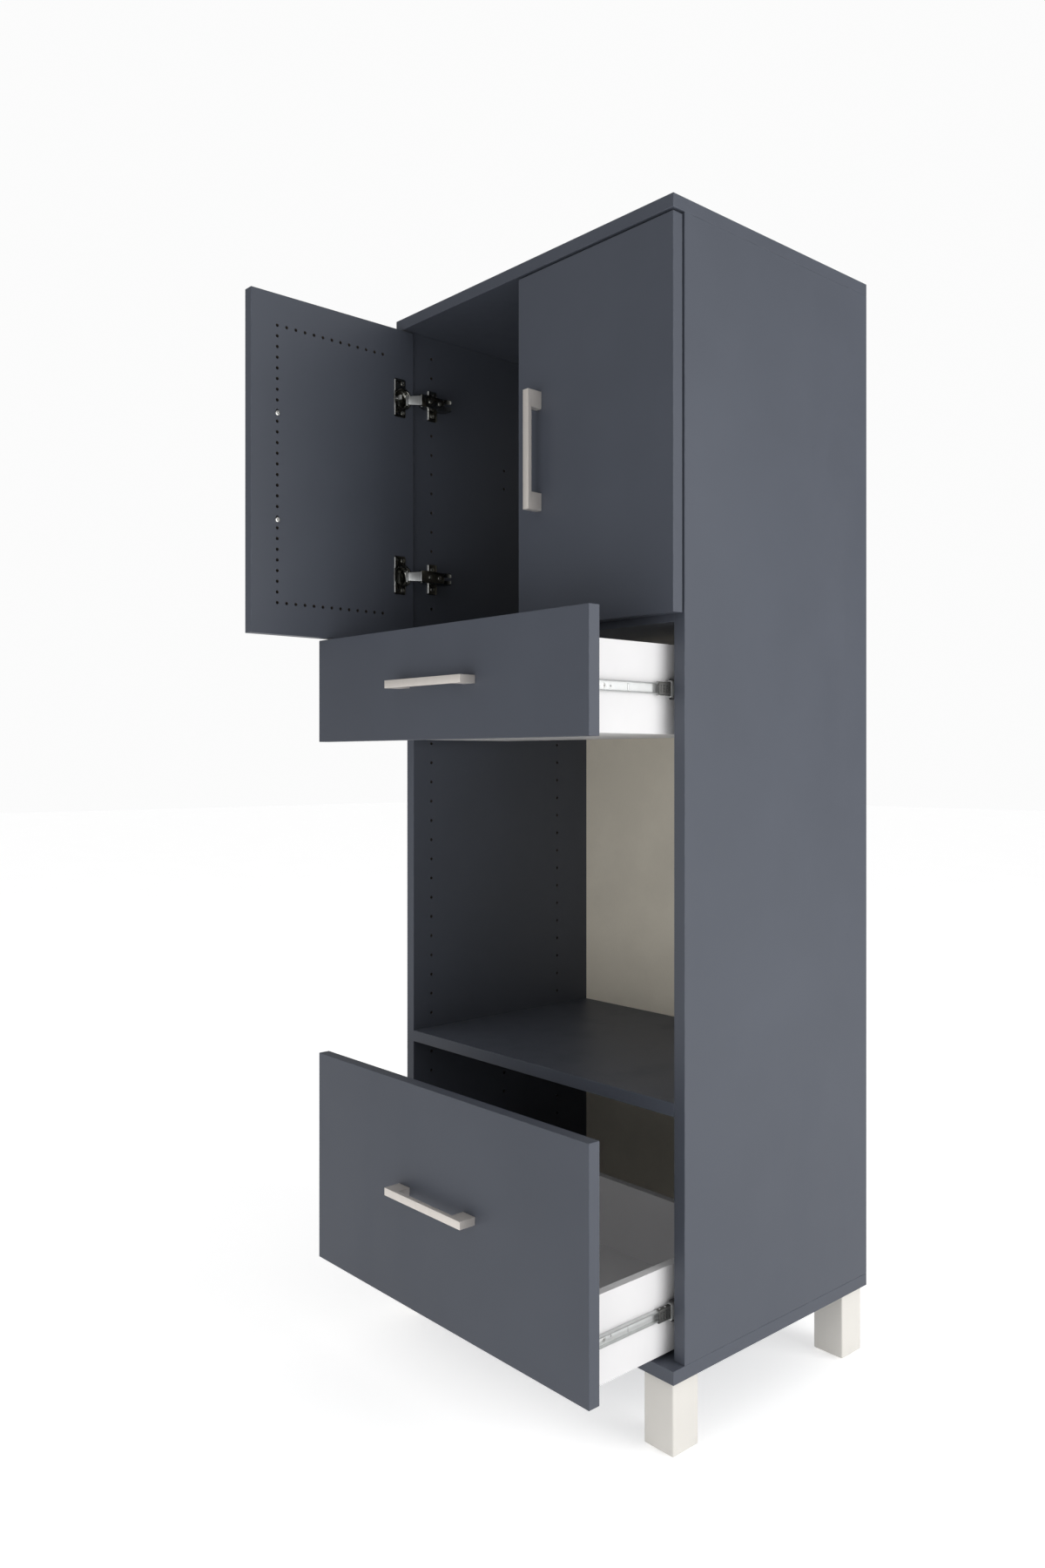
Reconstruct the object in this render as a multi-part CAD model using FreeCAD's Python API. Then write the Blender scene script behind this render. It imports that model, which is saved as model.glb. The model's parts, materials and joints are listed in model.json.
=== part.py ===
import FreeCAD, Part
import math
import os
from FreeCAD import Vector

# Tall two-door, two-drawer pantry cabinet on four legs.
# Millimetres. +X is to the right of somebody facing the doors, +Y goes back into
# the cabinet and +Z is up. The origin is on the floor, at the middle of the carcass.
# The rest pose has the left door open at a right angle and both drawers drawn out.

# ---- carcass ----
WIDTH = 600.0
SIDE_DEPTH = 420.0
LID_OVERHANG = 22.0
BODY_HEIGHT = 1516.0
BOARD = 18.0
LEG_HEIGHT = 100.0
LEG_SIZE = 50.0
LEG_INSET = 6.0
NICHE_FLOOR = 351.0
SHELF_UNDERSIDE = 974.0
BACK_THICK = 8.0
BACK_RECESS = 12.0
GROOVE = 6.0
EDGE_RADIUS = 0.6
FRONT_EDGE_RADIUS = 0.8
LEG_EDGE_RADIUS = 1.5

# ---- fronts ----
FRONT_GAP = 2.0
FRONT_EDGE_INSET = 2.0
DOOR_GAP = 2.0
DOOR_BOTTOM = 984.0
DOOR_HEIGHT = 511.0
UPPER_FRONT = (823.5, 158.0)
LOWER_FRONT = (21.0, 318.0)

# ---- drawer boxes ----
BOX_DEPTH = 342.0
BOX_WALL = 12.0
BOX_BOTTOM = 5.0
BOX_REBATE = 6.0
UPPER_BOX = (828.5, 117.0)
LOWER_BOX = (24.0, 112.5)
DRAWN_OUT = 151.0

# ---- slides ----
SLIDE_GAP = 12.7
SLIDE_LENGTH = 300.0
SLIDE_SETBACK = 2.0
SLIDE_STEEL = 1.2
MIDDLE_LENGTH = 228.0
MIDDLE_SETBACK = 73.5
CABINET_RAIL = (0.0, 9.8, 27.0)
MIDDLE_RAIL = (2.6, 10.2, 21.6)
DRAWER_RAIL = (5.0, SLIDE_GAP, 14.6)

# ---- row drilling, 32 mm system ----
PITCH = 32.0
ROW_START = 375.0
ROW_FRONT = 37.0
ROW_SPAN = 9 * PITCH
PIN_HOLE = 2.5
PIN_DEPTH = 12.0
PIN_END_MARGIN = 15.0
MIDDLE_ROW_STEP = 5
MIDDLE_ROW_PLACES = (-5, -4, 28, 29)
SLIDE_SCREW_STEP = 7

# ---- door drilling ----
DOOR_PITCH = 16.0
DOOR_HOLE_EDGE = 44.0
DOOR_HOLE_DEPTH = 10.0
COLUMN_HALF_COUNT = 13
ROW_COUNT = 13

# ---- concealed hinges ----
HINGE_SPAN = 9 * PITCH
CUP_EDGE = 5.0
CUP_RADIUS = 17.5
CUP_DEPTH = 12.5
CUP_STEEL = 1.0
FLANGE = (22.0, 62.0, 1.2)
FLANGE_LAP = 5.5
CUP_SCREW_SPAN = 48.0
ARM_PIN = (19.0, 2.4)
CUP_PIN = (11.8, 1.5)
ARM_PIN_RADIUS = 1.5
CUP_PIN_RADIUS = 1.2
PIN_CLEARANCE = 0.05
LINK_WIDTH = 14.0
LINK_STEEL = 1.8
LINK_SHARE = 0.374
ARM_WIDTH = 20.0
ARM_LENGTH = 58.0
ARM_STEEL = 1.5
DOOR_REST_ANGLE = 90.0

# ---- handles ----
HANDLE_LENGTH = 170.0
HANDLE_CENTRES = 160.0
HANDLE_REACH = 26.0
HANDLE_BAR = 7.0
HANDLE_WIDTH = 11.0
HANDLE_FOOT = 25.0
HANDLE_EDGE = 44.0
HANDLE_THREAD = 18.0
HANDLE_SCREW_GRIP = 12.0
HANDLE_SCREW_HEAD = (4.0, 2.2)
UPPER_HANDLE_Z = 902.0
LOWER_HANDLE_Z = 186.0
DOOR_HANDLE_DROP = 4.0
M4 = 2.0

# ---- derived places ----
DEPTH = SIDE_DEPTH + LID_OVERHANG
FRONT_Y = LID_OVERHANG - DEPTH / 2
BACK_Y = DEPTH / 2
HALF = WIDTH / 2
INNER = HALF - BOARD
BASE_Z = LEG_HEIGHT
FLOOR_Z = BASE_Z + BOARD
CEILING_Z = BASE_Z + BODY_HEIGHT - BOARD
NICHE_Z = BASE_Z + NICHE_FLOOR
SHELF_Z = BASE_Z + SHELF_UNDERSIDE
PANEL_Y = BACK_Y - BACK_RECESS - BACK_THICK
DOOR_BACK_Y = FRONT_Y - FRONT_GAP
DOOR_FRONT_Y = DOOR_BACK_Y - BOARD
DOOR_Z = BASE_Z + DOOR_BOTTOM
DOOR_MID_Z = DOOR_Z + DOOR_HEIGHT / 2
DOOR_HANDLE_Z = DOOR_MID_Z - DOOR_HANDLE_DROP
DOOR_OUTER = HALF - FRONT_EDGE_INSET
HINGE_Z = [DOOR_MID_Z - HINGE_SPAN / 2, DOOR_MID_Z + HINGE_SPAN / 2]
CUP_X = -(DOOR_OUTER - CUP_EDGE - CUP_RADIUS)
A_AXIS = Vector(-(INNER - ARM_PIN[0]), FRONT_Y + ARM_PIN[1], 0)
B_AXIS = Vector(-(DOOR_OUTER - CUP_PIN[0]), DOOR_BACK_Y - CUP_PIN[1], 0)
BOX_HALF = INNER - SLIDE_GAP
DRAWER_Y = DOOR_BACK_Y - DRAWN_OUT
UP = Vector(0, 0, 1)


def box(x0, x1, y0, y1, z0, z1):
    return Part.makeBox(x1 - x0, y1 - y0, z1 - z0, Vector(x0, y0, z0))


def rod(x, y, z, direction, radius, length):
    return Part.makeCylinder(radius, length, Vector(x, y, z), direction)


def along_x(x0, x1, y, z, radius):
    return rod(x0, y, z, Vector(1, 0, 0), radius, x1 - x0)


def along_y(x, y0, y1, z, radius):
    return rod(x, y0, z, Vector(0, 1, 0), radius, y1 - y0)


def along_z(x, y, z0, z1, radius):
    return rod(x, y, z0, UP, radius, z1 - z0)


def minus(shape, tools):
    return shape.cut(Part.makeCompound(tools))


def joined(shapes):
    whole = shapes[0].fuse(shapes[1:])
    return whole.removeSplitter()


def eased(shape, radius=EDGE_RADIUS):
    return shape.makeFillet(radius, shape.Edges)


def mirrored(shape):
    return shape.mirror(Vector(0, 0, 0), Vector(1, 0, 0))


def both(shapes):
    return shapes + [mirrored(s) for s in shapes]


def save(node, shapes):
    if isinstance(shapes, list):
        shapes = Part.makeCompound(shapes)
    shapes.exportStep("parts/" + node + ".step")


def row_heights(low, high):
    first = math.ceil((low - BASE_Z - ROW_START) / PITCH)
    last = math.floor((high - BASE_Z - ROW_START) / PITCH)
    return [BASE_Z + ROW_START + PITCH * k for k in range(first, last + 1)]


# ---------------------------------------------------------------- drilling
PIN_ROWS = [FRONT_Y + ROW_FRONT, FRONT_Y + ROW_FRONT + ROW_SPAN]
MIDDLE_ROW_Y = FRONT_Y + ROW_FRONT + MIDDLE_ROW_STEP * PITCH
HINGE_SCREW_Z = [z + s * PITCH / 2 for z in HINGE_Z for s in (-1, 1)]
SLIDE_Z = [BASE_Z + z + h / 2 for z, h in (UPPER_BOX, LOWER_BOX)]
SLIDE_SCREW_Y = [FRONT_Y + ROW_FRONT, FRONT_Y + ROW_FRONT + SLIDE_SCREW_STEP * PITCH]


def side_pin_holes():
    """Shelf-pin holes in the left side's inner face."""
    bays = [
        (FLOOR_Z + PIN_END_MARGIN, NICHE_Z - BOARD - PIN_END_MARGIN),
        (NICHE_Z + PIN_END_MARGIN, BASE_Z + UPPER_FRONT[0]),
        (SHELF_Z + BOARD + PIN_END_MARGIN, CEILING_Z - PIN_END_MARGIN),
    ]
    taken = HINGE_SCREW_Z + SLIDE_Z
    holes = []
    for low, high in bays:
        for z in row_heights(low, high):
            for y in PIN_ROWS:
                used = y == PIN_ROWS[0] and any(abs(z - t) < PITCH / 2 for t in taken)
                if not used:
                    holes.append(along_x(-INNER - PIN_DEPTH, -INNER + 1, y, z, PIN_HOLE))
    for k in MIDDLE_ROW_PLACES:
        z = BASE_Z + ROW_START + PITCH * k
        holes.append(along_x(-INNER - PIN_DEPTH, -INNER + 1, MIDDLE_ROW_Y, z, PIN_HOLE))
    return holes


# ---------------------------------------------------------------- fasteners
def screw_x(x, y, z, head, shank, inward):
    """Screw along X with its head at x; inward is +1 or -1, the way the head faces."""
    head_radius, head_high = head
    shank_radius, shank_long = shank
    low, high = sorted((x, x + inward * head_high))
    top = along_x(low, high, y, z, head_radius)
    low, high = sorted((x, x - inward * shank_long))
    return joined([top, along_x(low, high, y, z, shank_radius)])


def screw_y(x, y, z, head, shank, way):
    head_radius, head_high = head
    shank_radius, shank_long = shank
    low, high = sorted((y, y + way * head_high))
    top = along_y(x, low, high, z, head_radius)
    low, high = sorted((y, y - way * shank_long))
    return joined([top, along_y(x, low, high, z, shank_radius)])


# ---------------------------------------------------------------- hidden joinery
DOWEL_RADIUS = 4.0
DOWEL_IN_LID = 12.0
DOWEL_IN_END = 18.0
LID_DOWEL_Y = (50.0, 210.0, 370.0)
SHELF_DOWEL_Y = (100.0, 300.0)
CAM_Y = (60.0, 340.0)
CAM_RADIUS = 7.5
CAM_DEPTH = 12.5
CAM_BACKSET = 34.0
BOLT_RADIUS = 3.0
BOLT_IN_SIDE = 11.0
LEG_BOLT = (4.0, 12.0, 28.0)
SHELVES = [NICHE_Z - BOARD, SHELF_Z]


def left_lid_dowels():
    """Upright dowels that hold the left side to the lids."""
    dowels = []
    x = -HALF + BOARD / 2
    low, high = FLOOR_Z - DOWEL_IN_LID, CEILING_Z + DOWEL_IN_LID
    for y in [FRONT_Y + step for step in LID_DOWEL_Y]:
        dowels.append(along_z(x, y, low, FLOOR_Z + DOWEL_IN_END, DOWEL_RADIUS))
        dowels.append(along_z(x, y, CEILING_Z - DOWEL_IN_END, high, DOWEL_RADIUS))
    return dowels


def left_shelf_dowels():
    low, high = -INNER - BOLT_IN_SIDE, -INNER + DOWEL_IN_END
    rows = [FRONT_Y + step for step in SHELF_DOWEL_Y]
    return [along_x(low, high, y, z + BOARD / 2, DOWEL_RADIUS) for z in SHELVES for y in rows]


def left_cams():
    x = -INNER + CAM_BACKSET
    rows = [FRONT_Y + step for step in CAM_Y]
    return [along_z(x, y, z, z + CAM_DEPTH, CAM_RADIUS) for z in SHELVES for y in rows]


def left_cam_bolts():
    low, high = -INNER - BOLT_IN_SIDE, -INNER + CAM_BACKSET - CAM_RADIUS
    rows = [FRONT_Y + step for step in CAM_Y]
    return [along_x(low, high, y, z + BOARD / 2, BOLT_RADIUS) for z in SHELVES for y in rows]


def leg_bolt(x, y):
    radius, up, down = LEG_BOLT
    return along_z(x, y, BASE_Z - down, BASE_Z + up, radius)


LID_DOWELS = both(left_lid_dowels())
SHELF_DOWELS = both(left_shelf_dowels())
CAMS = both(left_cams())
CAM_BOLTS = both(left_cam_bolts())
LEG_X = HALF - LEG_INSET - LEG_SIZE / 2
LEG_Y = DEPTH / 2 - LEG_INSET - LEG_SIZE / 2
LEG_PLACES = {
    "leg_front_left": (-LEG_X, -LEG_Y),
    "leg_front_right": (LEG_X, -LEG_Y),
    "leg_back_left": (-LEG_X, LEG_Y),
    "leg_back_right": (LEG_X, LEG_Y),
}
LEG_BOLTS = [leg_bolt(x, y) for x, y in LEG_PLACES.values()]


# ---------------------------------------------------------------- hinge hardware
PLATE_STEEL = 2.0
PLATE_WING = (18.0, 50.0)
PLATE_SPINE = (46.0, 14.0)
PLATE_CORNER = 5.0
SADDLE_HEIGHT = 16.0
SADDLE_HALF = 6.0
SADDLE_AHEAD = 27.0
SADDLE_BEHIND = 15.0
PLATE_SCREW_HEAD = (3.6, 1.0)
PLATE_SCREW_SHANK = (2.3, 12.0)
ARM_SCREW_HEAD = (3.2, 1.4)
ARM_SCREW_SHANK = (2.0, 12.0)
ARM_SCREW_STEPS = (18.0, 37.0)
CROSS_SLOT = (2.0, 0.35, 0.9)
ARM_TOP = 22.0
ARM_STANDOFF = 3.0
ARM_TAIL_RADIUS = 6.0
ARM_TAIL_SLOT = (46.0, 2.6)
KNUCKLE_A = 2.6
KNUCKLE_B = 2.2
KNUCKLE_GAP = 0.6
ARM_NOSE = FRONT_Y - 0.2
ARM_TOP_X = -INNER + ARM_TOP
ARM_SCREW_Y = [FRONT_Y + step for step in ARM_SCREW_STEPS]


def hinge_plate(z):
    """Cross-shaped mounting plate on the left side, centred on the front drilling row."""
    y = FRONT_Y + ROW_FRONT
    wing_y, wing_z = PLATE_WING
    spine_y, spine_z = PLATE_SPINE
    x0, x1 = -INNER, -INNER + PLATE_STEEL
    wings = box(x0, x1, y - wing_y / 2, y + wing_y / 2, z - wing_z / 2, z + wing_z / 2)
    upright = [e for e in wings.Edges if abs(e.BoundBox.XLength - PLATE_STEEL) < 0.01]
    wings = wings.makeFillet(PLATE_CORNER, upright)
    spine = box(x0, x1, y - spine_y / 2, y + spine_y / 2, z - spine_z / 2, z + spine_z / 2)
    saddle = box(x0, x0 + SADDLE_HEIGHT, y - SADDLE_AHEAD, y + SADDLE_BEHIND,
                 z - SADDLE_HALF, z + SADDLE_HALF)
    return minus(joined([wings, spine, saddle]), hinge_plate_screws(z) + arm_screws(z))


def hinge_plate_screws(z):
    y = FRONT_Y + ROW_FRONT
    x = -INNER + PLATE_STEEL
    shank = (PLATE_SCREW_SHANK[0], PLATE_SCREW_SHANK[1] + PLATE_STEEL)
    return [screw_x(x, y, z + s * PITCH / 2, PLATE_SCREW_HEAD, shank, 1) for s in (-1, 1)]


def arm_screws(z):
    """The two screws that clamp the arm to the plate's saddle."""
    return [screw_x(ARM_TOP_X, y, z, ARM_SCREW_HEAD, ARM_SCREW_SHANK, 1) for y in ARM_SCREW_Y]


def cross_slotted(screw, y, z):
    half, thin, deep = CROSS_SLOT
    top = ARM_TOP_X + ARM_SCREW_HEAD[1]
    cross = [box(top - deep, top + 1, y - half, y + half, z - thin, z + thin),
             box(top - deep, top + 1, y - thin, y + thin, z - half, z + half)]
    return minus(screw, cross)


def hinge_arm_screws(z):
    return [cross_slotted(screw, y, z) for screw, y in zip(arm_screws(z), ARM_SCREW_Y)]


def hinge_arm(z):
    """Channel-shaped hinge arm, open towards the side panel, with the link pin at its nose."""
    half = ARM_WIDTH / 2
    clear = half - ARM_STEEL
    back = FRONT_Y + ARM_LENGTH
    x_low, x_top = -INNER + PLATE_STEEL + ARM_STANDOFF, ARM_TOP_X
    slot_start, slot_half = ARM_TAIL_SLOT
    block = box(x_low, x_top, ARM_NOSE, back, z - half, z + half)
    tail = [e for e in block.Edges
            if e.BoundBox.XLength > 1 and abs(e.BoundBox.YMin - back) < 0.01]
    block = block.makeFillet(ARM_TAIL_RADIUS, tail)
    inside = box(x_low - 1, x_top - ARM_STEEL, ARM_NOSE - 1, back + 1, z - clear, z + clear)
    mouth = box(x_low - 1, x_top + 1, ARM_NOSE - 1, A_AXIS.y + KNUCKLE_A + KNUCKLE_GAP,
                z - clear, z + clear)
    slot = box(x_top - ARM_STEEL - 1, x_top + 1, FRONT_Y + slot_start, back + 1,
               z - slot_half, z + slot_half)
    return minus(block, [inside, mouth, slot, hinge_arm_pin(z)] + arm_screws(z))


def hinge_arm_pin(z):
    half = ARM_WIDTH / 2
    return along_z(A_AXIS.x, A_AXIS.y, z - half, z + half, ARM_PIN_RADIUS)


def strip(start, end, z, half_width, thick):
    """Flat strip of metal that runs from one upright axis to another."""
    run = end - start
    plate = Part.makeBox(run.Length, thick, 2 * half_width, Vector(0, -thick / 2, -half_width))
    plate.rotate(Vector(0, 0, 0), UP, math.degrees(math.atan2(run.y, run.x)))
    plate.translate(Vector(start.x, start.y, z))
    return plate


def hinge_link(z):
    """Link between the arm's pin and the cup's pin, with a rolled knuckle at each end."""
    half = LINK_WIDTH / 2
    plate = strip(A_AXIS, B_AXIS, z, half, LINK_STEEL)
    barrels = [along_z(A_AXIS.x, A_AXIS.y, z - half, z + half, KNUCKLE_A),
               along_z(B_AXIS.x, B_AXIS.y, z - half, z + half, KNUCKLE_B)]
    low, high = z - LINK_WIDTH, z + LINK_WIDTH
    bores = [along_z(A_AXIS.x, A_AXIS.y, low, high, ARM_PIN_RADIUS + PIN_CLEARANCE),
             along_z(B_AXIS.x, B_AXIS.y, low, high, CUP_PIN_RADIUS + PIN_CLEARANCE)]
    return minus(joined([plate] + barrels), bores)


CUP_PIN_HALF = 12.0
CUP_CORNER = 2.5
CUP_RIM = 0.4
CUP_NOTCH = (1.6, 8.2)
CUP_LUG = (2.4, 6.0, 9.0)
CUP_SCREW_HEAD = (3.4, 0.9)
CUP_SCREW_SHANK = (2.0, 12.0)


def hinge_cup(z):
    """Drawn steel cup let into the door, with its screw flange on the door's inner face."""
    face = DOOR_BACK_Y
    across, tall, thick = FLANGE
    notch_deep, notch_half = CUP_NOTCH
    lug_half, lug_deep, lug_z = CUP_LUG
    flange = box(CUP_X - FLANGE_LAP, CUP_X - FLANGE_LAP + across, face, face + thick,
                 z - tall / 2, z + tall / 2)
    upright = [e for e in flange.Edges if abs(e.BoundBox.YLength - thick) < 0.01]
    flange = flange.makeFillet(CUP_CORNER, upright)
    shell = along_y(CUP_X, face - CUP_DEPTH, face + thick / 2, z, CUP_RADIUS)
    rim = along_y(CUP_X, face, face + thick, z, CUP_RADIUS + CUP_RIM)
    hollow = along_y(CUP_X, face - CUP_DEPTH + CUP_STEEL, face + 2 * thick, z,
                     CUP_RADIUS - CUP_STEEL)
    notch = box(CUP_X - CUP_RADIUS - 1, B_AXIS.x, face - notch_deep, face + 2 * thick,
                z - notch_half, z + notch_half)
    lugs = [box(B_AXIS.x - lug_half, B_AXIS.x + lug_half, face - lug_deep, face, low, high)
            for low, high in ((z + lug_z, z + CUP_PIN_HALF), (z - CUP_PIN_HALF, z - lug_z))]
    cup = minus(joined([flange, shell, rim]), [hollow, notch])
    return minus(joined([cup] + lugs), [hinge_cup_pin(z)] + hinge_cup_screws(z))


def hinge_cup_pin(z):
    return along_z(B_AXIS.x, B_AXIS.y, z - CUP_PIN_HALF, z + CUP_PIN_HALF, CUP_PIN_RADIUS)


def hinge_cup_screws(z):
    y = DOOR_BACK_Y + FLANGE[2]
    return [screw_y(CUP_X, y, z + s * CUP_SCREW_SPAN / 2, CUP_SCREW_HEAD, CUP_SCREW_SHANK, 1)
            for s in (-1, 1)]


# ---------------------------------------------------------------- handles
def handle_bow():
    """Bow handle lying along X, its feet on the plane y = 0 and its bar in front of it."""
    half = HANDLE_LENGTH / 2
    w = HANDLE_WIDTH / 2
    block = eased(box(-half, half, -HANDLE_REACH, 0, -w, w), FRONT_EDGE_RADIUS)
    gap = box(-half + HANDLE_FOOT, half - HANDLE_FOOT, -HANDLE_REACH + HANDLE_BAR, 1,
              -HANDLE_WIDTH, HANDLE_WIDTH)
    threads = [along_y(s * HANDLE_CENTRES / 2, -HANDLE_THREAD, 1, 0, M4) for s in (-1, 1)]
    return minus(block, [gap] + threads)


def handle_screws(through):
    """Two pan-head screws that come through a board this thick, heads behind it."""
    shank = (M4, through + HANDLE_SCREW_GRIP)
    return [screw_y(s * HANDLE_CENTRES / 2, through, 0, HANDLE_SCREW_HEAD, shank, 1)
            for s in (-1, 1)]


def placed(shapes, x, y, z, upright=False):
    moved = []
    for shape in shapes:
        shape = shape.copy()
        if upright:
            shape.rotate(Vector(0, 0, 0), Vector(0, 1, 0), 90)
        shape.translate(Vector(x, y, z))
        moved.append(shape)
    return moved


# ---------------------------------------------------------------- drawer slides
def channel(profile, y0, y1, z, closed_side):
    """C-shaped rail. profile is (nearest, farthest, height) from the left side's face."""
    near, far, tall = profile
    x0, x1 = -INNER + near, -INNER + far
    body = box(x0, x1, y0, y1, z - tall / 2, z + tall / 2)
    shift = SLIDE_STEEL if closed_side == "near" else -SLIDE_STEEL
    hollow = box(x0 + shift, x1 + shift, y0 - 1, y1 + 1,
                 z - tall / 2 + SLIDE_STEEL, z + tall / 2 - SLIDE_STEEL)
    return body.cut(hollow)


SLIDE_Y = FRONT_Y + SLIDE_SETBACK
RAIL_SCREW_HEAD = (3.2, SLIDE_STEEL)
SIDE_SCREW_SHANK = (1.9, 13.0)
BOX_SCREW_SHANK = (1.9, 10.0)
BOX_SCREW_OFFSETS = (35.0, 163.0, 259.0)


def slide_screws(z):
    """Flat-headed screws whose heads lie flush inside the cabinet rail."""
    return [screw_x(-INNER, y, z, RAIL_SCREW_HEAD, SIDE_SCREW_SHANK, 1) for y in SLIDE_SCREW_Y]


def cabinet_rail(z):
    rail = channel(CABINET_RAIL, SLIDE_Y, SLIDE_Y + SLIDE_LENGTH, z, "near")
    return minus(rail, slide_screws(z))


def middle_rail(z):
    start = FRONT_Y + MIDDLE_SETBACK - DRAWN_OUT / 2
    return channel(MIDDLE_RAIL, start, start + MIDDLE_LENGTH, z, "near")


def drawer_rail_screws(z):
    """Flat-headed screws that hold the drawer rail to the box side."""
    return [screw_x(-BOX_HALF, DRAWER_Y + offset, z, RAIL_SCREW_HEAD, BOX_SCREW_SHANK, -1)
            for offset in BOX_SCREW_OFFSETS]


def drawer_rail(z):
    rail = channel(DRAWER_RAIL, DRAWER_Y, DRAWER_Y + SLIDE_LENGTH, z, "far")
    return minus(rail, drawer_rail_screws(z))


# ---------------------------------------------------------------- carcass
def left_side():
    side = eased(box(-HALF, -INNER, FRONT_Y, BACK_Y, FLOOR_Z, CEILING_Z))
    groove = box(-INNER - GROOVE, -INNER + 1, PANEL_Y, PANEL_Y + BACK_THICK,
                 FLOOR_Z - 1, CEILING_Z + 1)
    holes = side_pin_holes()
    for z in HINGE_Z:
        holes += hinge_plate_screws(z)
    for z in SLIDE_Z:
        holes += slide_screws(z)
    return minus(side, [groove] + holes + LID_DOWELS + SHELF_DOWELS + CAM_BOLTS)


def lid(z0, groove_low, groove_high, extra):
    board = eased(box(-HALF, HALF, FRONT_Y - LID_OVERHANG, BACK_Y, z0, z0 + BOARD))
    half = INNER + GROOVE
    groove = box(-half, half, PANEL_Y, PANEL_Y + BACK_THICK, groove_low, groove_high)
    return minus(board, [groove] + LID_DOWELS + extra)


def shelf(z0):
    board = box(-INNER, INNER, FRONT_Y, PANEL_Y, z0, z0 + BOARD)
    front_edges = [e for e in board.Edges
                   if e.BoundBox.XLength > WIDTH / 2 and abs(e.BoundBox.YMin - FRONT_Y) < 0.01]
    board = board.makeFillet(EDGE_RADIUS, front_edges)
    return minus(board, SHELF_DOWELS + CAMS + CAM_BOLTS)


def leg(x, y):
    half = LEG_SIZE / 2
    post = box(x - half, x + half, y - half, y + half, 0, BASE_Z)
    return minus(eased(post, LEG_EDGE_RADIUS), LEG_BOLTS)


LEFT_SIDE = left_side()
save("left_side_panel", LEFT_SIDE)
save("right_side_panel", mirrored(LEFT_SIDE))
save("bottom_panel", lid(BASE_Z, FLOOR_Z - GROOVE, FLOOR_Z + 1, LEG_BOLTS))
save("top_panel", lid(CEILING_Z, CEILING_Z - 1, CEILING_Z + GROOVE, []))
save("niche_shelf", shelf(NICHE_Z - BOARD))
save("upper_shelf", shelf(SHELF_Z))
save("back_panel", box(-INNER - GROOVE, INNER + GROOVE, PANEL_Y, PANEL_Y + BACK_THICK,
                       FLOOR_Z - GROOVE, CEILING_Z + GROOVE))
for node, (x, y) in LEG_PLACES.items():
    save(node, leg(x, y))
save("leg_bolts", LEG_BOLTS)
save("carcass_dowels", LID_DOWELS + SHELF_DOWELS)
save("shelf_cams", [minus(c, CAM_BOLTS) for c in CAMS])
save("shelf_cam_bolts", CAM_BOLTS)
save("hinge_plates", both([hinge_plate(z) for z in HINGE_Z]))
save("hinge_arms", both([hinge_arm(z) for z in HINGE_Z]))
save("hinge_arm_pins", both([hinge_arm_pin(z) for z in HINGE_Z]))
save("hinge_screws", both([s for z in HINGE_Z for s in hinge_plate_screws(z) + hinge_arm_screws(z)]))
save("slide_screws", both([s for z in SLIDE_Z for s in slide_screws(z)]))


# ---------------------------------------------------------------- doors
def swung(shape, angle):
    """A left door's piece, turned about both hinge axes from closed to open."""
    shape = shape.copy()
    shape.rotate(B_AXIS, UP, -angle * (1 + LINK_SHARE))
    shape.rotate(A_AXIS, UP, angle * LINK_SHARE)
    return shape


def swung_link(shape, angle):
    shape = shape.copy()
    shape.rotate(A_AXIS, UP, angle * LINK_SHARE)
    return shape


DOOR_INNER = -DOOR_GAP / 2
HANDLE_X = DOOR_INNER - HANDLE_EDGE
DOOR_HOLE_X = DOOR_INNER - DOOR_HOLE_EDGE


def door_panel():
    """Left door, closed, with its cup pockets and the row of shallow holes round its back."""
    board = eased(box(-DOOR_OUTER, DOOR_INNER, DOOR_FRONT_Y, DOOR_BACK_Y, DOOR_Z,
                      DOOR_Z + DOOR_HEIGHT), FRONT_EDGE_RADIUS)
    low, high = DOOR_BACK_Y - DOOR_HOLE_DEPTH, DOOR_BACK_Y + 1
    tools = []
    for z in HINGE_Z:
        tools.append(along_y(CUP_X, DOOR_BACK_Y - CUP_DEPTH, high, z, CUP_RADIUS))
        tools += hinge_cup_screws(z)
    reach = COLUMN_HALF_COUNT * DOOR_PITCH
    for k in range(-COLUMN_HALF_COUNT, COLUMN_HALF_COUNT + 1):
        z = DOOR_MID_Z + k * DOOR_PITCH
        tools.append(along_y(DOOR_HOLE_X, low, high, z, PIN_HOLE))
    for k in range(1, ROW_COUNT):
        x = DOOR_HOLE_X - k * DOOR_PITCH
        tools += [along_y(x, low, high, DOOR_MID_Z + s * reach, PIN_HOLE) for s in (-1, 1)]
    return minus(board, tools + DOOR_HANDLE_SCREWS)


DOOR_HANDLE = placed([handle_bow()], HANDLE_X, DOOR_FRONT_Y, DOOR_HANDLE_Z, True)
DOOR_HANDLE_SCREWS = placed(handle_screws(BOARD), HANDLE_X, DOOR_FRONT_Y, DOOR_HANDLE_Z, True)
DOOR = {
    "door_panel": [door_panel()],
    "door_handle": DOOR_HANDLE,
    "door_handle_screws": DOOR_HANDLE_SCREWS,
    "hinge_cups": [hinge_cup(z) for z in HINGE_Z],
    "hinge_cup_pins": [hinge_cup_pin(z) for z in HINGE_Z],
    "hinge_cup_screws": [s for z in HINGE_Z for s in hinge_cup_screws(z)],
}
LINKS = [hinge_link(z) for z in HINGE_Z]
for node, shapes in DOOR.items():
    save("left_" + node, [swung(s, DOOR_REST_ANGLE) for s in shapes])
    save("right_" + node, [mirrored(s) for s in shapes])
save("left_hinge_links", [swung_link(s, DOOR_REST_ANGLE) for s in LINKS])
save("right_hinge_links", [mirrored(s) for s in LINKS])


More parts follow.
